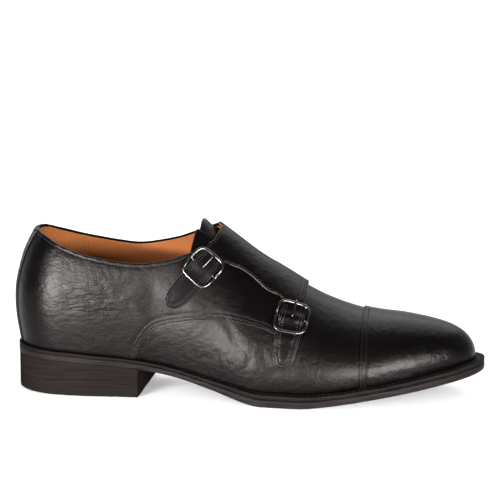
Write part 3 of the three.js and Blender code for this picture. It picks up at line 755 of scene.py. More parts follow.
def cut(ring, grid, lines, edge):
    """A leather piece cut flat: triangles inside its outline, fine along edges and seams."""
    rows = [ring]
    for by in (0.1 * edge, 0.4 * edge, edge):
        points = inward(ring, by)
        rows.append(points[within(points, ring) & (to_line(points, ring, True) > by * 0.8)])
    low, high = ring.min(0), ring.max(0)
    across = np.arange(low[0], high[0], grid)
    up = np.arange(low[1], high[1], grid * 0.87)
    field = np.array([(x + (k % 2) * grid / 2, y) for k, y in enumerate(up) for x in across])
    field = field[within(field, ring)]
    field = field[to_line(field, ring, True) > edge + grid * 0.45]
    if len(lines):
        seams = []
        for line in lines:
            line = resample(line, 0.9)
            left = leftward(unit(np.gradient(line, axis=0)))
            seams += [line + left * k for k in (-0.9, -0.45, 0, 0.45, 0.9)]
        near = np.concatenate(seams)
        near = near[within(near, ring)]
        near = near[to_line(near, ring, True) > edge * 1.1]
        gap = np.full(len(field), 1e9)
        for start in range(0, len(near), 400):
            block = near[start : start + 400]
            gap = np.minimum(gap, np.linalg.norm(field[:, None] - block, axis=2).min(1))
        field = field[gap > grid * 0.5]
        rows.insert(1, near)
    points = np.concatenate([*rows, field])
    edges = [(i, (i + 1) % len(ring)) for i in range(len(ring))]
    flat, _, faces, *_ = delaunay_2d_cdt([Vector(p) for p in points], edges, [], 0, 1e-4)
    flat = np.array([tuple(v) for v in flat])
    faces = np.array([tuple(f) for f in faces])
    faces = faces[within(flat[faces].mean(1), ring)]
    a, b, c = (flat[faces[:, k]] for k in range(3))
    area = (b[:, 0] - a[:, 0]) * (c[:, 1] - a[:, 1]) - (c[:, 0] - a[:, 0]) * (b[:, 1] - a[:, 1])
    faces, area = faces[np.abs(area) > 1e-7], area[np.abs(area) > 1e-7]
    faces[area < 0] = faces[area < 0][:, ::-1]
    return used_only(flat, faces)


def leather_piece(
    name, node, ring, top, under, finish, grid=1.8, place=on_last, lines=(), groove=0.22, edge=0.55
):
    """A cut piece laid over the last as a closed sheet with rounded edges and sunk seams.

    top and under are heights over the last, numbers or functions of the places.
    """
    flat, faces = cut(ring, grid, lines, edge)
    rim = to_line(flat, ring, True)
    high = top(flat) if callable(top) else np.full(len(flat), float(top))
    low = under(flat) if callable(under) else np.full(len(flat), float(under))
    for line in lines:
        high = high - groove * np.exp(-((to_line(flat, line) / 0.5) ** 2))
    ease = np.sqrt(1 - (1 - np.clip(rim / edge, 0, 1)) ** 2)
    n = len(flat)
    back = np.where(rim < 5e-3, np.arange(n), np.arange(n) + n)
    points = np.concatenate([place(flat, low + (high - low) * ease), place(flat, low)])
    points, faces = used_only(points, np.concatenate([faces, back[faces][:, ::-1]]))
    dress(mesh(name, points, faces, finish), node)


def smooth(f):
    f = np.clip(f, 0, 1)
    return f * f * (3 - 2 * f)


# Where the leather has settled in wear: soft troughs (minus) and ridges (plus) on the outside of
# the upper, each as its middle and half length along a direction, half width and depth.
CREASES = [
    ((0.485, 0.17), 0.055, -52, 3.4, -0.3),
    ((0.463, 0.115), 0.04, -40, 2.6, -0.22),
    ((0.511, -0.03), 0.016, 55, 0.95, 0.6),
    ((0.518, -0.045), 0.016, 58, 1.2, -0.45),
    ((0.62, 0.03), 0.015, 80, 0.9, 0.6),
    ((0.628, 0.05), 0.022, 82, 1.8, -0.5),
    ((0.645, 0.13), 0.03, -80, 2.6, 0.22),
    ((0.585, -0.115), 0.03, 4, 2.6, -0.35),
    ((0.55, 0.0), 0.02, -60, 2.0, -0.3),
    ((0.345, 0.325), 0.04, 12, 4.6, -0.6),
    ((0.31, 0.42), 0.035, 60, 6.5, -0.5),
    ((0.285, 0.34), 0.022, -48, 1.1, 0.22),
    ((0.268, 0.33), 0.02, -52, 1.0, -0.2),
    ((0.2, 0.43), 0.045, 6, 1.3, -0.2),
    ((0.19, 0.39), 0.04, 3, 1.2, 0.18),
    ((0.215, 0.35), 0.04, 8, 1.2, -0.18),
    ((0.16, 0.46), 0.03, -8, 1.2, -0.16),
    ((0.24, 0.42), 0.03, 14, 1.2, 0.14),
    ((0.13, 0.36), 0.03, -4, 1.4, -0.14),
    ((0.26, 0.55), 0.03, 24, 1.6, -0.16),
    ((0.68, 0.3), 0.02, -80, 3.6, -0.2),
]


def crease_lines(side):
    lines = []
    for (at, up), reach, angle, width, depth in CREASES:
        along = reach * math.cos(math.radians(angle))
        rise = reach * math.sin(math.radians(angle)) * SOLE_LENGTH / BACK_RISE
        a, b = seen(side, [(at - along, up - rise), (at + along, up + rise)])
        lines.append(((a + b) / 2, b - a, width, depth))
    return lines


crease_sets = {-1: crease_lines(-1), 1: crease_lines(1)}


def creases(side, flat):
    """How far the outer surface is raised or sunk by wear at places on one side of the last."""
    total = np.zeros(len(flat))
    for middle, run, width, depth in crease_sets[side]:
        half = np.linalg.norm(run) / 2
        along = run / half / 2
        d = flat - middle
        u, v = d @ along, d @ np.array([-along[1], along[0]])
        bend = v - 0.5 * np.sin(u / 3.1 + width)
        total += depth * np.exp(-((bend / width) ** 2)) * smooth(1.3 - np.abs(u) / half)
    return total


def calf(name, dark, pale, gloss, wrinkles=(), matt=()):
    """Polished calf: near-black dye with brown showing through, fine pores and soft wax clouds.

    Each wrinkle patch is its centre, size, scale, stretch and depth, each matt one its centre, size
    and amount.
    """
    finish = Finish(name)
    clouds = finish.noise(22.0, 4.0, (1, 1, 1.5), 0.6)
    fine = finish.noise(190.0, 4.0, (1, 1, 1.4), 0.6)
    cells = {"Vector": finish.place(), "Scale": 1300.0}
    pores = finish.node("TexVoronoi", {"feature": "DISTANCE_TO_EDGE"}, cells)
    pore = (pores["Distance"] * 3.0).clamped()
    tint = finish.mix((clouds * 1.6 - 0.5 + fine * 0.25).clamped(), dark, pale)
    sheet = finish.bump(clouds, 0.22, 0.003)
    sheet = finish.bump(fine, 0.34, 0.0012, sheet)
    for centre, size, scale, stretch, depth in wrinkles:
        folds = finish.noise(scale, 3.0, stretch)
        patch = finish.near(centre, size)
        sheet = finish.bump((folds - 0.5) * patch * patch, 1.0, depth, sheet)
    roughness = gloss + clouds * 0.12 + fine * 0.1
    for centre, size, amount in matt:
        roughness = roughness + (finish.near(centre, size) * 2.0).clamped() * amount
    finish.set(Base_Color=tint, Roughness=roughness.clamped())
    finish.set(Specular_IOR_Level=0.08, Specular_Tint=(1.0, 0.92, 0.89))
    finish.set(Normal=finish.bump(pore, 0.14, 0.00014, sheet), Coat_Weight=0.03, Coat_Roughness=0.3)
    return finish


calf_dye = (0.0002, 0.00016, 0.00016), (0.0008, 0.0005, 0.0005), 0.2
calf_black = calf("black_calf", *calf_dye)
calf_flap = calf("flap_calf", *calf_dye, matt=[((-0.042, -0.037, 0.069), (0.04, 0.04, 0.04), 0.6)])
calf_vamp = calf(
    "vamp_calf", *calf_dye,
    wrinkles=[
        ((0.0, -0.04, 0.032), (0.06, 0.05, 0.028), 240.0, (1.3, 1.0, 0.8), 0.0008),
        ((0.045, -0.045, 0.028), (0.032, 0.04, 0.022), 260.0, (1.8, 1.0, 0.5), 0.0006),
    ],
    matt=[((-0.005, -0.04, 0.035), (0.085, 0.06, 0.05), 0.08)],
)
calf_quarter = calf(
    "quarter_calf", *calf_dye,
    wrinkles=[
        ((-0.098, -0.036, 0.062), (0.052, 0.05, 0.026), 260.0, (0.45, 0.45, 1.5), 0.0012),
        ((-0.03, -0.036, 0.05), (0.03, 0.05, 0.02), 220.0, (1.0, 0.7, 1.0), 0.001),
    ],
    matt=[
        ((-0.095, -0.036, 0.028), (0.11, 0.06, 0.03), 0.14),
        ((-0.042, -0.037, 0.062), (0.045, 0.04, 0.045), 0.1),
    ],
)

# Lines of the cut pieces as they are seen from the side: shares of the sole's length and of the
# back's height.
QUARTER_SEAM = [
    (0.275, -0.5), (0.277, -0.05), (0.285, 0.045), (0.294, 0.11), (0.307, 0.173), (0.322, 0.212),
    (0.339, 0.236), (0.36, 0.256), (0.382, 0.272), (0.413, 0.287), (0.455, 0.297), (0.497, 0.278),
    (0.543, 0.234), (0.565, 0.199), (0.583, 0.172), (0.6, 0.2), (0.61, 0.27), (0.615, 0.38),
    (0.617, 0.5), (0.618, 0.9),
]
FLAP_MEDIAL = [
    (0.6263, 0.8204), (0.6257, 0.5721), (0.6183, 0.4066), (0.5983, 0.2411), (0.5683, 0.0894),
    (0.5333, -0.0417), (0.5033, -0.1727), (0.4867, -0.3106), (0.48, -0.4899),
]
seam_line = seen(-1, curve(QUARTER_SEAM, 160))
medial_seam = seen(1, curve(FLAP_MEDIAL, 110))


def last_of(line, side):
    """The part of a line from where it leaves the feather line to where it meets the ridge."""
    off = np.abs(line[:, 1])
    keep = (off < GIRTH - 1e-3) & (off > 1e-3)
    first, final = np.flatnonzero(keep)[[0, -1]]
    line = line[max(first - 1, 0) : final + 2].copy()
    line[:, 1] = np.where(np.abs(line[:, 1]) > GIRTH - 1e-3, side * GIRTH, line[:, 1])
    return line


seam_line = last_of(seam_line, -1)
medial_seam = last_of(medial_seam[::-1], 1)[::-1]
TOE_P = P_END - 0.15
MEDIAL_LAP = 11.0
VAMP_BACK = [
    (0.25, -0.5), (0.252, 0.0), (0.262, 0.12), (0.29, 0.28), (0.33, 0.38), (0.385, 0.42),
    (0.46, 0.43), (0.52, 0.42), (0.545, 0.5), (0.555, 0.9),
]
vamp_lateral = last_of(seen(-1, curve(VAMP_BACK, 90)), -1)
vamp_medial = medial_seam - np.array([MEDIAL_LAP, 0])
vamp_medial = np.concatenate([[[vamp_lateral[-1][0], 0.0]], vamp_medial[1:]])


def round_toe(start, end):
    """Three sides of a piece that is pulled round the toe, along the feather line."""
    corners = [(start, -GIRTH), (TOE_P, -GIRTH), (TOE_P, GIRTH), (end, GIRTH)]
    return [corners[k : k + 2] for k in range(3)]


vamp_sides = round_toe(vamp_lateral[0][0], vamp_medial[-1][0])
vamp_ring = outline(*vamp_sides, vamp_medial[::-1], vamp_lateral[::-1])
leather_piece("vamp", "upper", vamp_ring, lambda f: creases(-1, f), -0.9, calf_vamp, grid=1.9)

# Lateral quarter
# The outer side of the shoe, one piece of calf from the back seam forward under the flap. It lies
# over the vamp, its cut edge sewn down with two rows; its top edge is folded and sewn once.
QUARTER_STEP = 0.8
QUARTER_LAP = 11.0
COLLAR_LATERAL = [
    (-0.06, 1.04), (0.043, 0.998), (0.075, 0.97), (0.11, 0.9), (0.155, 0.83), (0.2, 0.788),
    (0.243, 0.76), (0.287, 0.752), (0.327, 0.772), (0.357, 0.8), (0.377, 0.832), (0.42, 0.87),
    (0.475, 0.92),
]
COLLAR_MEDIAL = [
    (-0.06, 1.04), (0.043, 0.998), (0.08, 0.94), (0.12, 0.89), (0.163, 0.856), (0.207, 0.829),
    (0.25, 0.814), (0.293, 0.837), (0.34, 0.883), (0.373, 0.935), (0.407, 0.993), (0.443, 1.06),
    (0.48, 1.12),
]


def collar(side, rows):
    """A collar's line from the back line to the ridge."""
    line = seen(side, curve(rows, 240))
    at_back = np.flatnonzero(line[:, 0] > 1e-3)[0]
    line = line[at_back:]
    line = np.concatenate([[[0.0, line[0, 1]]], line])
    over = np.flatnonzero(np.abs(line[:, 1]) < 1e-3)
    return line[: over[0] + 1] if len(over) else line


collar_out = collar(-1, COLLAR_LATERAL)
collar_in = collar(1, COLLAR_MEDIAL)
quarter_ring = outline(
    [(0.0, -GIRTH), (seam_line[0][0], -GIRTH)],
    seam_line,
    [seam_line[-1], collar_out[-1]],
    collar_out[::-1],
    [collar_out[0], (0.0, -GIRTH)],
)


def beside(line, by):
    """A line drawn beside another, to its left."""
    line = resample(line, 0.8)
    along = unit(np.gradient(line, axis=0))
    for _ in range(3):
        along[1:-1] = (along[:-2] + 2 * along[1:-1] + along[2:]) / 4
    return line + leftward(along) * by


SEAM_ROWS = (1.3, 3.0)
COLLAR_ROW = 1.7
seam_rows = [beside(seam_line, by) for by in SEAM_ROWS]
seam_rows = [row[(row[:, 1] > -GIRTH + 1) & (row[:, 1] < -14)] for row in seam_rows]
collar_row = beside(collar_out, -COLLAR_ROW)
collar_row = collar_row[collar_row[:, 0] > 15.5]
quarter_rows = [*seam_rows, collar_row]


def quarter_under(flat):
    """The quarter's flesh side, which steps up onto the vamp along the lap of its front edge."""
    return -0.9 + 0.93 * smooth((QUARTER_LAP - to_line(flat, seam_line)) / 3)


leather_piece(
    "lateral_quarter", "upper", quarter_ring, lambda f: QUARTER_STEP + creases(-1, f), quarter_under,
    calf_quarter, lines=quarter_rows,
)


def spun(name, dark, pale, gloss, level, scale=2600.0, detail=2.0, depth=0.3):
    """Fine stuff that catches light in threads: waxed thread, or the fibres of a cut edge."""
    finish = Finish(name)
    twist = finish.noise(scale, detail)
    finish.set(Base_Color=finish.mix(twist, dark, pale), Roughness=gloss, Specular_IOR_Level=level)
    finish.set(Normal=finish.bump(twist, depth, 0.0001))
    return finish


thread = spun("waxed_thread", (0.003, 0.0026, 0.0026), (0.014, 0.012, 0.011), 0.4, 0.2)
tan_thread = spun("tan_thread", (0.02, 0.008, 0.0035), (0.08, 0.036, 0.015), 0.6, 0.5)


def spokes(across, up, sides):
    """Directions round each point of a line, from its sideways and upward ones."""
    a = np.linspace(0, 2 * math.pi, sides, endpoint=False)[None, :, None]
    return across[:, None] * np.cos(a) + up[:, None] * np.sin(a)


def rod(loops):
    """Faces of a rod with closed ends."""
    n, last = len(loops[0]), (len(loops) - 1) * len(loops[0])
    return skin(loops) + [tuple(range(n))[::-1], tuple(range(last, last + n))]


def joined(parts):
    """The points and faces of several meshes as one."""
    points, faces, base = [], [], 0
    for more, shapes in parts:
        points.append(more)
        faces += [tuple(base + i for i in shape) for shape in shapes]
        base += len(more)
    return np.concatenate(points), faces


# A stitch from end to end: how deep it is sunk and how full it is.
STITCH_SINK = np.array([0.24, 0.04, 0.0, 0.04, 0.24]).reshape(-1, 1)
STITCH_FULL = np.array([0.4, 0.92, 1.0, 0.92, 0.4]).reshape(-1, 1, 1)
STITCH_GAP = 0.14


def stitches(name, rows, node, finish=thread, pitch=1.9, thick=0.25):
    """Sewing: each row is (line, height, place), and each stitch a thread sunk at both ends."""
    sewn = []
    for line, height, place in rows:
        line = resample(line, 0.35)
        high = height(line) if callable(height) else np.full(len(line), float(height))
        track, above = place(line, high), place(line, high + 1.0)
        run = lengths_along(track)
        for k in range(int(run[-1] / pitch)):
            at = np.linspace((k + STITCH_GAP) * pitch, (k + 1 - STITCH_GAP) * pitch, 5)
            core = np.stack([np.interp(at, run, track[:, i]) for i in range(3)], 1)
            up = unit(np.stack([np.interp(at, run, (above - track)[:, i]) for i in range(3)], 1))
            across = np.cross(up, unit(core[-1:] - core[:1]))
            loops = (core - up * STITCH_SINK)[:, None] + spokes(across, up, 6) * thick * STITCH_FULL
            sewn.append((loops.reshape(-1, 3), rod(loops)))
    dress(mesh(name, *joined(sewn), finish), node)


SUNK = 0.1


def on_quarter(line):
    return QUARTER_STEP - SUNK + creases(-1, line)


stitches("quarter_stitches", [(row, on_quarter, on_last) for row in quarter_rows], "upper")

# Lining
# Undyed calf inside the whole shoe, glued to the outer leather and trimmed just below its folded
# edge. Two close rows of sewing run down the inner side, where the lining is joined.
lining_finish = Finish("lining_calf")
clouds = lining_finish.noise(40.0, 4.0)
fine = lining_finish.noise(700.0, 3.0)
lining_tint = lining_finish.mix((clouds * 1.2 - 0.1).clamped(), (0.155, 0.043, 0.009), (0.22, 0.074, 0.02))
lining_finish.set(Base_Color=lining_tint, Roughness=(0.5 + fine * 0.25).clamped())
lining_finish.set(Normal=lining_finish.bump(fine, 0.25, 0.0004), Specular_IOR_Level=0.15)

LINING_TOP, LINING_WALL = -0.88, -1.5
LINING_TRIM = 0.7
lining_out = beside(collar_out, -LINING_TRIM)
lining_in = beside(collar_in, LINING_TRIM)
lining_out[0, 0] = lining_in[0, 0] = 0.0
lining_out = lining_out[lining_out[:, 1] < -0.4]
lining_in = lining_in[lining_in[:, 1] > 0.4]
lining_ring = outline(
    *round_toe(0.0, 0.0),
    [(0.0, GIRTH), lining_in[0]],
    lining_in,
    [lining_in[-1], lining_out[-1]],
    lining_out[::-1],
    [lining_out[0], (0.0, -GIRTH)],
    spacing=1.3,
)


def lining_outside(flat):
    return LINING_TOP + 0.42 * smooth(flat[:, 1] / 8)


leather_piece(
    "lining", "upper", lining_ring, lining_outside, LINING_WALL, lining_finish, grid=3.2, edge=0.3
)

LINING_SEAMS = (0.129, 0.137)
LINING_ROW = 1.9
lining_rows = []
for at in LINING_SEAMS:
    seam = [(at + 0.004 * (0.8 - up), up) for up in np.linspace(0.1, 0.83, 30)]
    lining_rows.append(seen(1, seam))
lining_top_row = beside(collar_in, LINING_ROW)
lining_rows.append(lining_top_row[(lining_top_row[:, 0] > 3) & (lining_top_row[:, 1] > 1)])


def inside_face(flat, height):
    """Places on the inner face of the lining: a height of 1 more points into the shoe."""
    return on_last(flat, 2 * LINING_WALL - np.asarray(height))


lining_sewing = [(row, LINING_WALL - 0.02, inside_face) for row in lining_rows]
stitches("lining_stitches", lining_sewing, "upper", tan_thread, pitch=2.4)

# Medial quarter with its flap and straps
# The inner side of the shoe, cut in one with a flap that crosses the instep and ends in two
# straps. The straps pass under the frames of the buckles and over their bars.
STRAP_LEATHER = 1.3
STRAP_WIDTH = 15.6
STRAP_LENGTH = 32.0
STRAP_ROW = 3.2
MEDIAL_ROWS = (1.3, 3.6)
BAR = 0.7
STRAP_BED = QUARTER_STEP + SEAT_GAP
BAR_LIFT = 2 * BAR + SEAT_GAP


def view_mm(share):
    return np.array([share[0] * SOLE_LENGTH, seat_height + share[1] * BACK_RISE])


def from_side(xz):
    """Places (p, q) on the lateral side from where they are seen from the side."""
    return np.stack([p_at(xz[:, 0]), -(1 - share_up(xz[:, 0], -1, xz[:, 1])) * GIRTH], 1)


def over(xz, height):
    """A place on the lateral side, seen from the side at x and z, at a height above the last."""
    return on_last(from_side(np.atleast_2d(xz)), height)


class StrapLine:
    """A strap's middle line on the lateral side, from the middle of its buckle to its tip."""

    def __init__(self, buckle, tip):
        self.start, self.end = view_mm(buckle), view_mm(tip)
        self.shares = np.linspace(-0.6, 1.2, 121)
        run = lengths_along(over(self.spot(self.shares), 0.0))
        self.run = run - np.interp(0, self.shares, run)

    def spot(self, share):
        return self.start + (self.end - self.start) * np.reshape(share, (-1, 1))

    def side_view(self, u, v):
        """Where a place along and across the strap is seen from the side."""
        share = np.interp(u, self.run, self.shares)
        middle = self.spot(share)
        ahead = over(self.spot(share + 0.01), 0.0) - over(self.spot(share - 0.01), 0.0)
        up = over(middle, 1.0) - over(middle, 0.0)
        sideways = unit(np.cross(up, ahead))
        return middle + sideways[:, [0, 2]] * np.reshape(v, (-1, 1))

    def flat(self, u, v):
        """The same place as (p, q) on the last."""
        return from_side(self.side_view(u, v))

    def place(self, u, v, height):
        u, v, height = np.broadcast_arrays(np.asarray(u, float), v, height)
        return over(self.side_view(u, v), height)

    def locate(self, flat):
        """Roughly where places (p, q) lie along and across the strap."""
        near = self.flat(np.array([-6.0, 6.0, 0.0, 0.0]), np.array([0.0, 0.0, -6.0, 6.0]))
        forward, sideways = (near[1] - near[0]) / 12, (near[3] - near[2]) / 12
        frame_2d = np.linalg.inv(np.stack([forward, sideways], 1))
        middle = self.flat(np.array([0.0]), np.array([0.0]))[0]
        uv = (flat - middle) @ frame_2d.T
        return uv[:, 0], uv[:, 1]


rear_strap = StrapLine((0.4157, 0.7142), (0.3497, 0.4108))
front_strap = StrapLine((0.6013, 0.3018), (0.5873, -0.0679))
STRAP_HALF = [
    (-0.41, 1.0), (-0.281, 1.0), (0.0, 1.0), (0.281, 0.994), (0.438, 0.962), (0.594, 0.923),
    (0.734, 0.872), (0.844, 0.769), (0.925, 0.603), (0.978, 0.359), (1.0, 0.0),
]


def strap_edge(strap, inset=0.0, stop=-11.5):
    """The strap's edge from one side of its root round the tip to the other side."""
    along = np.array([a for a, _ in STRAP_HALF]) * STRAP_LENGTH
    half = np.array([h for _, h in STRAP_HALF]) * STRAP_WIDTH / 2
    one = curve(np.stack([along, half], 1), 120)
    other = one[::-1] * np.array([1, -1])
    whole = resample(np.concatenate([one, other[1:]]), 0.5)
    if inset:
        whole = beside(whole, -inset)
    whole = whole[whole[:, 0] > stop]
    return strap.flat(whole[:, 0], whole[:, 1])


def from_ridge(line):
    """A line that starts over the ridge, from its crossing down."""
    return line[np.flatnonzero(line[:, 1] < -1e-3)[0] - 1 :]


def run_from(edge, start):
    """A strap's edge, turned so that it starts at its end next to a place."""
    return edge[::-1] if abs(edge[0] - start).sum() > abs(edge[-1] - start).sum() else edge


FLAP_REAR = [(0.4433, 1.3), (0.4433, 1.059), (0.4387, 0.9859), (0.4317, 0.9308), (0.424, 0.9114)]
FLAP_BETWEEN = [
    (0.468, 0.7321), (0.4773, 0.7142), (0.4883, 0.6977), (0.507, 0.6508), (0.5243, 0.5956),
    (0.5467, 0.5225), (0.5707, 0.4783),
]
FLAP_FRONT = [(0.624, 0.4121), (0.6243, 0.4894), (0.6257, 0.5721), (0.6263, 0.9)]
flap_rear = from_ridge(seen(-1, curve(FLAP_REAR, 40)))
between = seen(-1, curve(FLAP_BETWEEN, 60))
flap_front = seen(-1, curve(FLAP_FRONT, 40))
flap_front = flap_front[: np.flatnonzero(flap_front[:, 1] > -1e-3)[0] + 1]
rear_edge = run_from(strap_edge(rear_strap), flap_rear[-1])
front_edge = run_from(strap_edge(front_strap), between[-1])
BACKSTAY_HALF = 13.5


def strip_side(side, y, line):
    """The back strip's edge on one side, y out from the shoe's middle, up to the collar's line."""

    def top(p):
        return np.interp(p, line[:, 0], 1 - np.abs(line[:, 1]) / GIRTH)

    t = np.linspace(0, 0.75, 151)
    p = halved(np.zeros(len(t)), p_heel, lambda p: np.abs(last_point(x_at(p), side, t)[:, 1]) < y)
    edge = np.stack([p, side * (1 - t) * GIRTH], 1)
    edge = edge[1 - np.abs(edge[:, 1]) / GIRTH < top(edge[:, 0])]
    p = edge[-1, 0]
    return np.concatenate([edge, [[p, side * GIRTH * (1 - top(p))]]])


flap_back = strip_side(1, BACKSTAY_HALF + SEAT_GAP, collar_in)
collar_flap = collar_in[collar_in[:, 0] > flap_back[-1, 0] + 0.3]
collar_flap = np.concatenate([flap_back[-1:], collar_flap])
flap_sides = [flap_back, collar_flap, flap_rear, rear_edge, between, front_edge, flap_front, medial_seam]
flap_run = flap_sides[:1]
for side, following in zip(flap_sides[1:], flap_sides[2:] + flap_sides[:1]):
    flap_run += [side, [side[-1], following[0]]]
flap_ring = outline(*flap_run, spacing=0.9)


def flap_bed(flat):
    """Height of what the flap lies on: vamp, lateral quarter or a buckle's bar."""
    x, t = x_at(flat[:, 0]), 1 - np.abs(flat[:, 1]) / GIRTH
    inner_side = QUARTER_STEP * smooth((x / SOLE_LENGTH - 0.34) / 0.09) * smooth((t - 0.55) / 0.45)
    bed = np.where(flat[:, 1] < 0, STRAP_BED, inner_side + SEAT_GAP)
    for strap in (rear_strap, front_strap):
        u, v = strap.locate(flat)
        beside_it = smooth((14 - np.abs(v)) / 4)
        bed = bed + BAR_LIFT * np.exp(-((u / (5.1 * BAR)) ** 2)) * beside_it
        if strap is front_strap:
            bed = bed - 0.7 * smooth((u - 12) / 7) * beside_it
    return bed


def flap_under(flat):
    """The flap's flesh side: on the lining where no other leather lies between."""
    bed = flap_bed(flat)
    over_vamp = to_line(flat, vamp_medial) * np.where(within(flat, vamp_ring), 1, -1)
    medial = -0.42 + (bed + 0.42) * smooth((over_vamp + 3) / 3)
    across_ridge = smooth((flat[:, 1] - 2) / 10)
    return bed + (medial - bed) * across_ridge


def flap_top(flat):
    inner_crease = np.where(flat[:, 1] > 0, 0.5 * creases(1, flat), 0)
    return flap_bed(flat) + STRAP_LEATHER + inner_crease


front_line = np.concatenate([flap_front, medial_seam[1:]])
free_edge = resample(np.concatenate([flap_rear, rear_edge, between, front_edge]), 0.5)
flap_rows = [
    beside(free_edge, MEDIAL_ROWS[0]),
    *(strap_edge(strap, STRAP_ROW, -10.0) for strap in (rear_strap, front_strap)),
    *(beside(front_line, by)[3:] for by in MEDIAL_ROWS),
    beside(collar_flap, COLLAR_ROW)[4:],
]
flap_rows = [row[(np.abs(row[:, 1]) < GIRTH - 0.8) & within(row, flap_ring)] for row in flap_rows]
leather_piece(
    "medial_quarter", "medial_quarter", flap_ring, flap_top, flap_under, calf_flap,
    grid=1.7, lines=flap_rows, edge=0.6,
)
flap_sewing = [(row, lambda f: flap_top(f) - SUNK, on_last) for row in flap_rows]
stitches("flap_stitches", flap_sewing, "medial_quarter")

# The cut edges are left raw, a thin brown line of undyed leather, or waxed black where they rub.
raw_edge = spun("raw_edge", (0.015, 0.009, 0.006), (0.05, 0.032, 0.022), 0.55, 0.5, 1800.0, 3.0)
waxed_edge = spun("waxed_edge", (0.002, 0.0016, 0.0016), (0.014, 0.011, 0.01), 0.3, 0.25, 1500.0, 3.0, 0.2)


def edge_line(name, line, height, node, thick, finish):
    """The cut edge of a piece as a fine bead let into its side."""
    line = resample(beside(line, 0.1), 0.6)
    core = on_last(line, height(line))
    ahead = unit(np.gradient(core, axis=0))
    across = unit(np.cross(on_last(line, 5.0) - on_last(line, 4.0), ahead))
    loops = core[:, None] + spokes(across, 1.5 * np.cross(ahead, across), 8) * thick
    dress(mesh(name, loops.reshape(-1, 3), rod(loops), finish), node)


def below_strap(flat):
    return flap_bed(flat) + 0.55


for name, line, thick, finish in (
    ("flap_lower_edge", between, 0.17, raw_edge),
    ("flap_rear_edge", flap_rear[flap_rear[:, 1] < -2], 0.17, raw_edge),
    ("rear_strap_edge", rear_edge, 0.26, waxed_edge),
    ("front_strap_edge", front_edge, 0.26, waxed_edge),
):
    edge_line(name, line, below_strap, "medial_quarter", thick, finish)
seam_edge = seam_line[(seam_line[:, 1] > 1 - GIRTH) & (seam_line[:, 1] < -20)]
edge_line("quarter_edge", seam_edge, lambda f: 0.38 + creases(-1, f), "upper", 0.22, waxed_edge)

# Under the flap's rear edge its own tan lining comes up to the throat.
FLAP_LINING_WIDTH = 9.0
throat_in = collar_flap[collar_flap[:, 0] > collar_flap[-1, 0] - 16]
throat_edge = beside(np.concatenate([throat_in, flap_rear[1:]]), 0.25)
throat_deep = beside(throat_edge, FLAP_LINING_WIDTH)
throat_sides = [throat_edge[-1], throat_deep[-1]], throat_deep[::-1], [throat_deep[0], throat_edge[0]]
leather_piece(
    "flap_lining", "medial_quarter", outline(throat_edge, *throat_sides),
    lambda f: flap_bed(f) + 0.02, lambda f: flap_bed(f) - 0.75, lining_finish,
    grid=2.0, edge=0.25,
)

# Toe cap
# A separate cap of calf over the front of the vamp, its straight edge sewn down with two rows
# and polished brighter than the rest.
TOE_CAP_START = 223.2
CAP_LEATHER = 1.0
CAP_ROWS = (1.05, 3.7)
CAP_ROW_SINK = 0.32
cap_calf = calf("cap_calf", (0.0002, 0.00016, 0.00016), (0.0009, 0.0006, 0.0006), 0.17)
cap_p = float(p_at(TOE_CAP_START))
cap_ring = outline(*round_toe(cap_p, cap_p), [(cap_p, GIRTH), (cap_p, -GIRTH)])
cap_q = np.linspace(-GIRTH + 1, GIRTH - 1, 160)
cap_rows = [np.array([(cap_p + by, q) for q in cap_q]) for by in CAP_ROWS]
cap_top = SEAT_GAP + CAP_LEATHER
leather_piece(
    "toe_cap", "toe_cap", cap_ring, cap_top, 0.02, cap_calf, lines=cap_rows, groove=0.42, edge=0.6
)
cap_thread = spun("black_thread", (0.001, 0.001, 0.001), (0.005, 0.004, 0.004), 0.8, 0.1)
cap_sewing = [(row, cap_top - CAP_ROW_SINK, on_last) for row in cap_rows]
stitches("toe_cap_stitches", cap_sewing, "toe_cap", cap_thread)

# Backstay
# A strip of calf over the back seam, from the welt to the top edge, sewn along both sides with a
# thread that wear has made paler than the rest.
BACKSTAY_TOP = QUARTER_STEP + SEAT_GAP + 1.0
BACKSTAY_ROW = 1.2


def round_back(line):
    """Places (p, q) of one side as (u, t) round the back line."""
    side = np.sign(line[:, 1])
    return np.stack([side * line[:, 0], GIRTH - np.abs(line[:, 1])], 1)


strip_in = strip_side(1, BACKSTAY_HALF, collar_in)
strip_out = strip_side(-1, BACKSTAY_HALF, collar_out)
top_in = round_back(collar_in[collar_in[:, 0] < strip_in[-1, 0] - 0.3])[::-1]
top_out = round_back(collar_out[collar_out[:, 0] < strip_out[-1, 0] - 0.3])
strip_in, strip_out = round_back(strip_in), round_back(strip_out)
strip_ring = outline(
    [strip_out[0], strip_in[0]],
    strip_in,
    np.concatenate([strip_in[-1:], top_in, top_out[1:], strip_out[-1:]]),
    strip_out[::-1],
)
strip_rows = [beside(strip_in, BACKSTAY_ROW)[2:-2], beside(strip_out, -BACKSTAY_ROW)[2:-2]]
leather_piece(
    "backstay", "backstay", strip_ring, BACKSTAY_TOP, QUARTER_STEP - 0.5, calf_black,
    grid=1.7, place=on_back, lines=strip_rows,
)
back_thread = Finish("worn_thread")
back_thread.set(Base_Color=(0.06, 0.055, 0.052), Roughness=0.38)
strip_sewing = [(row, BACKSTAY_TOP - SUNK, on_back) for row in strip_rows]
stitches("backstay_stitches", strip_sewing, "backstay", back_thread)

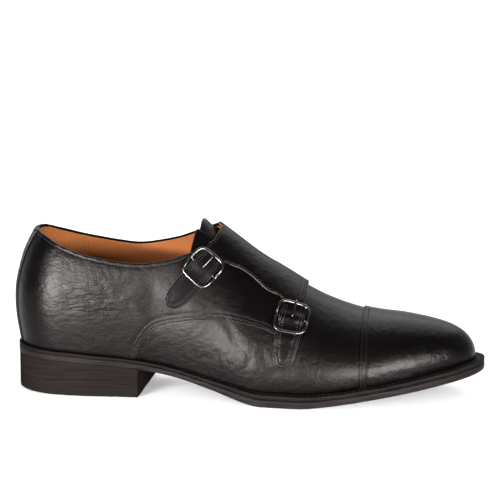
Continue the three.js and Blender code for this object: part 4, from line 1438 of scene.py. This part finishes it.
# Tongue
# A soft piece of calf over the instep inside the shoe, lined, with a rounded top that stands out
# at the throat. It is sewn to the vamp under the flap.
TONGUE_TOP = -(UPPER_WALL + SEAT_GAP)
TONGUE_THICK = 1.6
TONGUE_HOLLOW = 134
TONGUE = [
    (0.4117, 1.3721), (0.4067, 1.0687), (0.3987, 1.0466), (0.394, 0.9721), (0.388, 0.848),
    (0.385, 0.7377), (0.39, 0.648), (0.4133, 0.6135), (0.5, 0.517), (0.5533, 0.4342),
    (0.57, 0.4894), (0.5733, 0.9),
]
tongue_side = from_ridge(seen(-1, curve(TONGUE, 150)))
tongue_side = tongue_side[: np.flatnonzero(tongue_side[1:, 1] > -1e-3)[0] + 2]
tongue_ring = outline(tongue_side, tongue_side[::-1] * np.array([1, -1]))


def tongue_top(flat):
    """The tongue bends away under the flap's rear edge and leaves a hollow there."""
    along = (x_at(flat[:, 0]) - TONGUE_HOLLOW) / 6.5
    return TONGUE_TOP - 1.6 * np.exp(-(along**2)) * np.exp(-((flat[:, 1] / 26) ** 2))


def tongue_back(flat):
    return tongue_top(flat) - TONGUE_THICK


leather_piece("tongue", "tongue", tongue_ring, tongue_top, tongue_back, calf_black, grid=2.0, edge=0.8)

# Sock
# The tan leather sock glued over the insole board, dished a little along its middle, with the
# board and cork filling under it down to the sole.
INSOLE_THICK = 3.0
SOCK_MIDDLE = 0.3
sock_p = [(2.0, p_heel, 26), (p_heel, p_toe, 60), (p_toe, P_END - 6, 40)]
sock_p = np.concatenate([np.linspace(*span)[min(k, 1) :] for k, span in enumerate(sock_p)])


def sock_loop(height, inset):
    """The inside of the upper at a height above the feather line, drawn in by an inset."""
    x = x_at(sock_p)
    middle = sole_middle(x)
    sides = []
    for side in (-1, 1):
        t = share_up(x, side, feather_height(x) + max(height, 0), 0.5)
        line = on_last(np.stack([sock_p, side * (1 - t) * GIRTH], 1), -UPPER_WALL - SEAT_GAP - inset)
        crossed = side * (line[:, 1] - middle) < SOCK_MIDDLE
        line[:, 1] = np.where(crossed, middle + side * SOCK_MIDDLE, line[:, 1])
        line[:, 2] = feather_height(x) + height
        sides.append(line)
    return np.concatenate([sides[0], sides[1][::-1]])


sock_rows = [(0.15, 0.5), (0.9, 0.0), (2.2, 0.0), (2.75, 0.25), (INSOLE_THICK, 0.9), (2.9, 4.0), (2.75, 9.0)]
sock_loops = [sock_loop(height, inset) for height, inset in sock_rows]
n = len(sock_loops[0])
sock_faces = skin(sock_loops)
for base, turned in ((0, False), ((len(sock_loops) - 1) * n, True)):
    for i in range(n // 2 - 1):
        quad = (base + i, base + n - 1 - i, base + n - 2 - i, base + i + 1)
        sock_faces.append(quad[::-1] if turned else quad)
dress(mesh("sock", np.concatenate(sock_loops), sock_faces, lining_finish), "insole")

# Buckles
# Two squared rings of polished steel wire with a thin bar across under the strap, and a prong that
# turns on the bar, comes up through the strap and rests on the end of the ring.
BUCKLE_LENGTH = 19.8
BUCKLE_WIDTH = STRAP_WIDTH + 4
BUCKLE_SQUARE = 4.4
WIRE = 1.05
PRONG = 0.7
FRAME_HEIGHT = STRAP_BED + STRAP_LEATHER + SEAT_GAP + WIRE
BAR_HEIGHT = STRAP_BED + BAR
SIDE_DIP = FRAME_HEIGHT - BAR_HEIGHT - 0.45

steel = Finish("smoked_steel")
smoke = steel.noise(120.0, 3.0)
rubbed = steel.noise(700.0, 3.0)
smoke_tint = steel.mix((smoke * 1.8 - 0.4).clamped(), (0.02, 0.017, 0.016), (0.12, 0.11, 0.108))
steel.set(Base_Color=smoke_tint, Metallic=1.0, Roughness=(0.13 + rubbed * 0.14).clamped())
steel.set(Normal=steel.bump(rubbed, 0.02, 0.00005))


def wire(strap, path, radii, closed, sides):
    """Round wire along (along, across, height) points of a strap."""
    ahead = np.roll(path, -1, 0) - np.roll(path, 1, 0) if closed else np.gradient(path, axis=0)
    ahead = unit(ahead)
    out = np.cross(ahead, (0, 0, 1))
    upright = np.linalg.norm(out, axis=1, keepdims=True) < 1e-3
    out = unit(np.where(upright, (0, 1, 0), out))
    ringed = path[:, None] + spokes(out, np.cross(out, ahead), sides) * np.reshape(radii, (-1, 1, 1))
    loops = strap.place(*ringed.reshape(-1, 3).T).reshape(len(path), sides, 3)
    return loops.reshape(-1, 3), skin(loops, True) if closed else rod(loops)


def corner_share(share):
    """A squared ring's reach for the cosine or sine of an angle."""
    return np.sign(share) * np.abs(share) ** (2 / BUCKLE_SQUARE)


def buckle(name, strap):
    a = np.linspace(0, 2 * math.pi, 128, endpoint=False)[list(range(128)) + [0]]
    end, half = BUCKLE_LENGTH / 2, BUCKLE_WIDTH / 2
    loop = np.stack([corner_share(np.cos(a)) * end, corner_share(np.sin(a)) * half], 1)
    loop = resample(loop, 0.62)[:-1]
    height = FRAME_HEIGHT - SIDE_DIP * np.exp(-((loop[:, 0] / 3.2) ** 2))
    ring = wire(strap, np.column_stack([loop, height]), np.full(len(loop), WIRE), True, 14)
    across = np.linspace(-half, half, 15)
    bar_path = np.column_stack([0 * across, across, BAR_HEIGHT + 0 * across])
    bar = wire(strap, bar_path, np.full(15, BAR), False, 12)
    dress(mesh(f"{name}_buckle_ring", *joined([ring, bar]), steel), f"{name}_buckle")

    over_strap = STRAP_BED + BAR_LIFT + STRAP_LEATHER + SEAT_GAP + PRONG
    over_frame = FRAME_HEIGHT + WIRE + SEAT_GAP + PRONG
    reach = [
        (0.3, over_strap - 0.7),
        (-0.12 * end, over_strap),
        (-0.4 * end, (over_strap + over_frame) / 2),
        (-0.8 * end, over_frame - 0.02),
        (-end, over_frame - 0.06),
        (-1.12 * end, over_frame - 0.3),
    ]
    path = curve([(along, 0, height) for along, height in reach], 30)
    s = np.linspace(0, 1, 30)
    radii = PRONG * np.where(s < 0.1, 0.72 + 2.8 * s, 1.0) * (1 - 0.45 * smooth((s - 0.55) / 0.45))
    radii[-1] *= 0.6
    prong = wire(strap, path, radii, False, 12)
    dress(mesh(f"{name}_buckle_prong", *prong, steel), f"{name}_prong")


buckle("rear", rear_strap)
buckle("front", front_strap)

# Welt stitches
# The row that holds welt and sole together shows on top of the welt as short dark stitches. It
# starts in front of the heel, where the rand widens into the welt.
WELT_ROW = 4.4
WELT_ROW_START = 82
WELT_PITCH = 3.1
welt_row = sole_loop(welt_top, WELT_ROW)
welt_row = welt_row[(welt_row[:, 0] > WELT_ROW_START) & (welt_row[:, 0] < SOLE_LENGTH), :2]


def on_welt(line, height):
    return np.column_stack([line, welt_top(line[:, 0]) + height])


stitches("welt_stitches", [(welt_row, -0.02, on_welt)], "welt", thread, WELT_PITCH, 0.3)
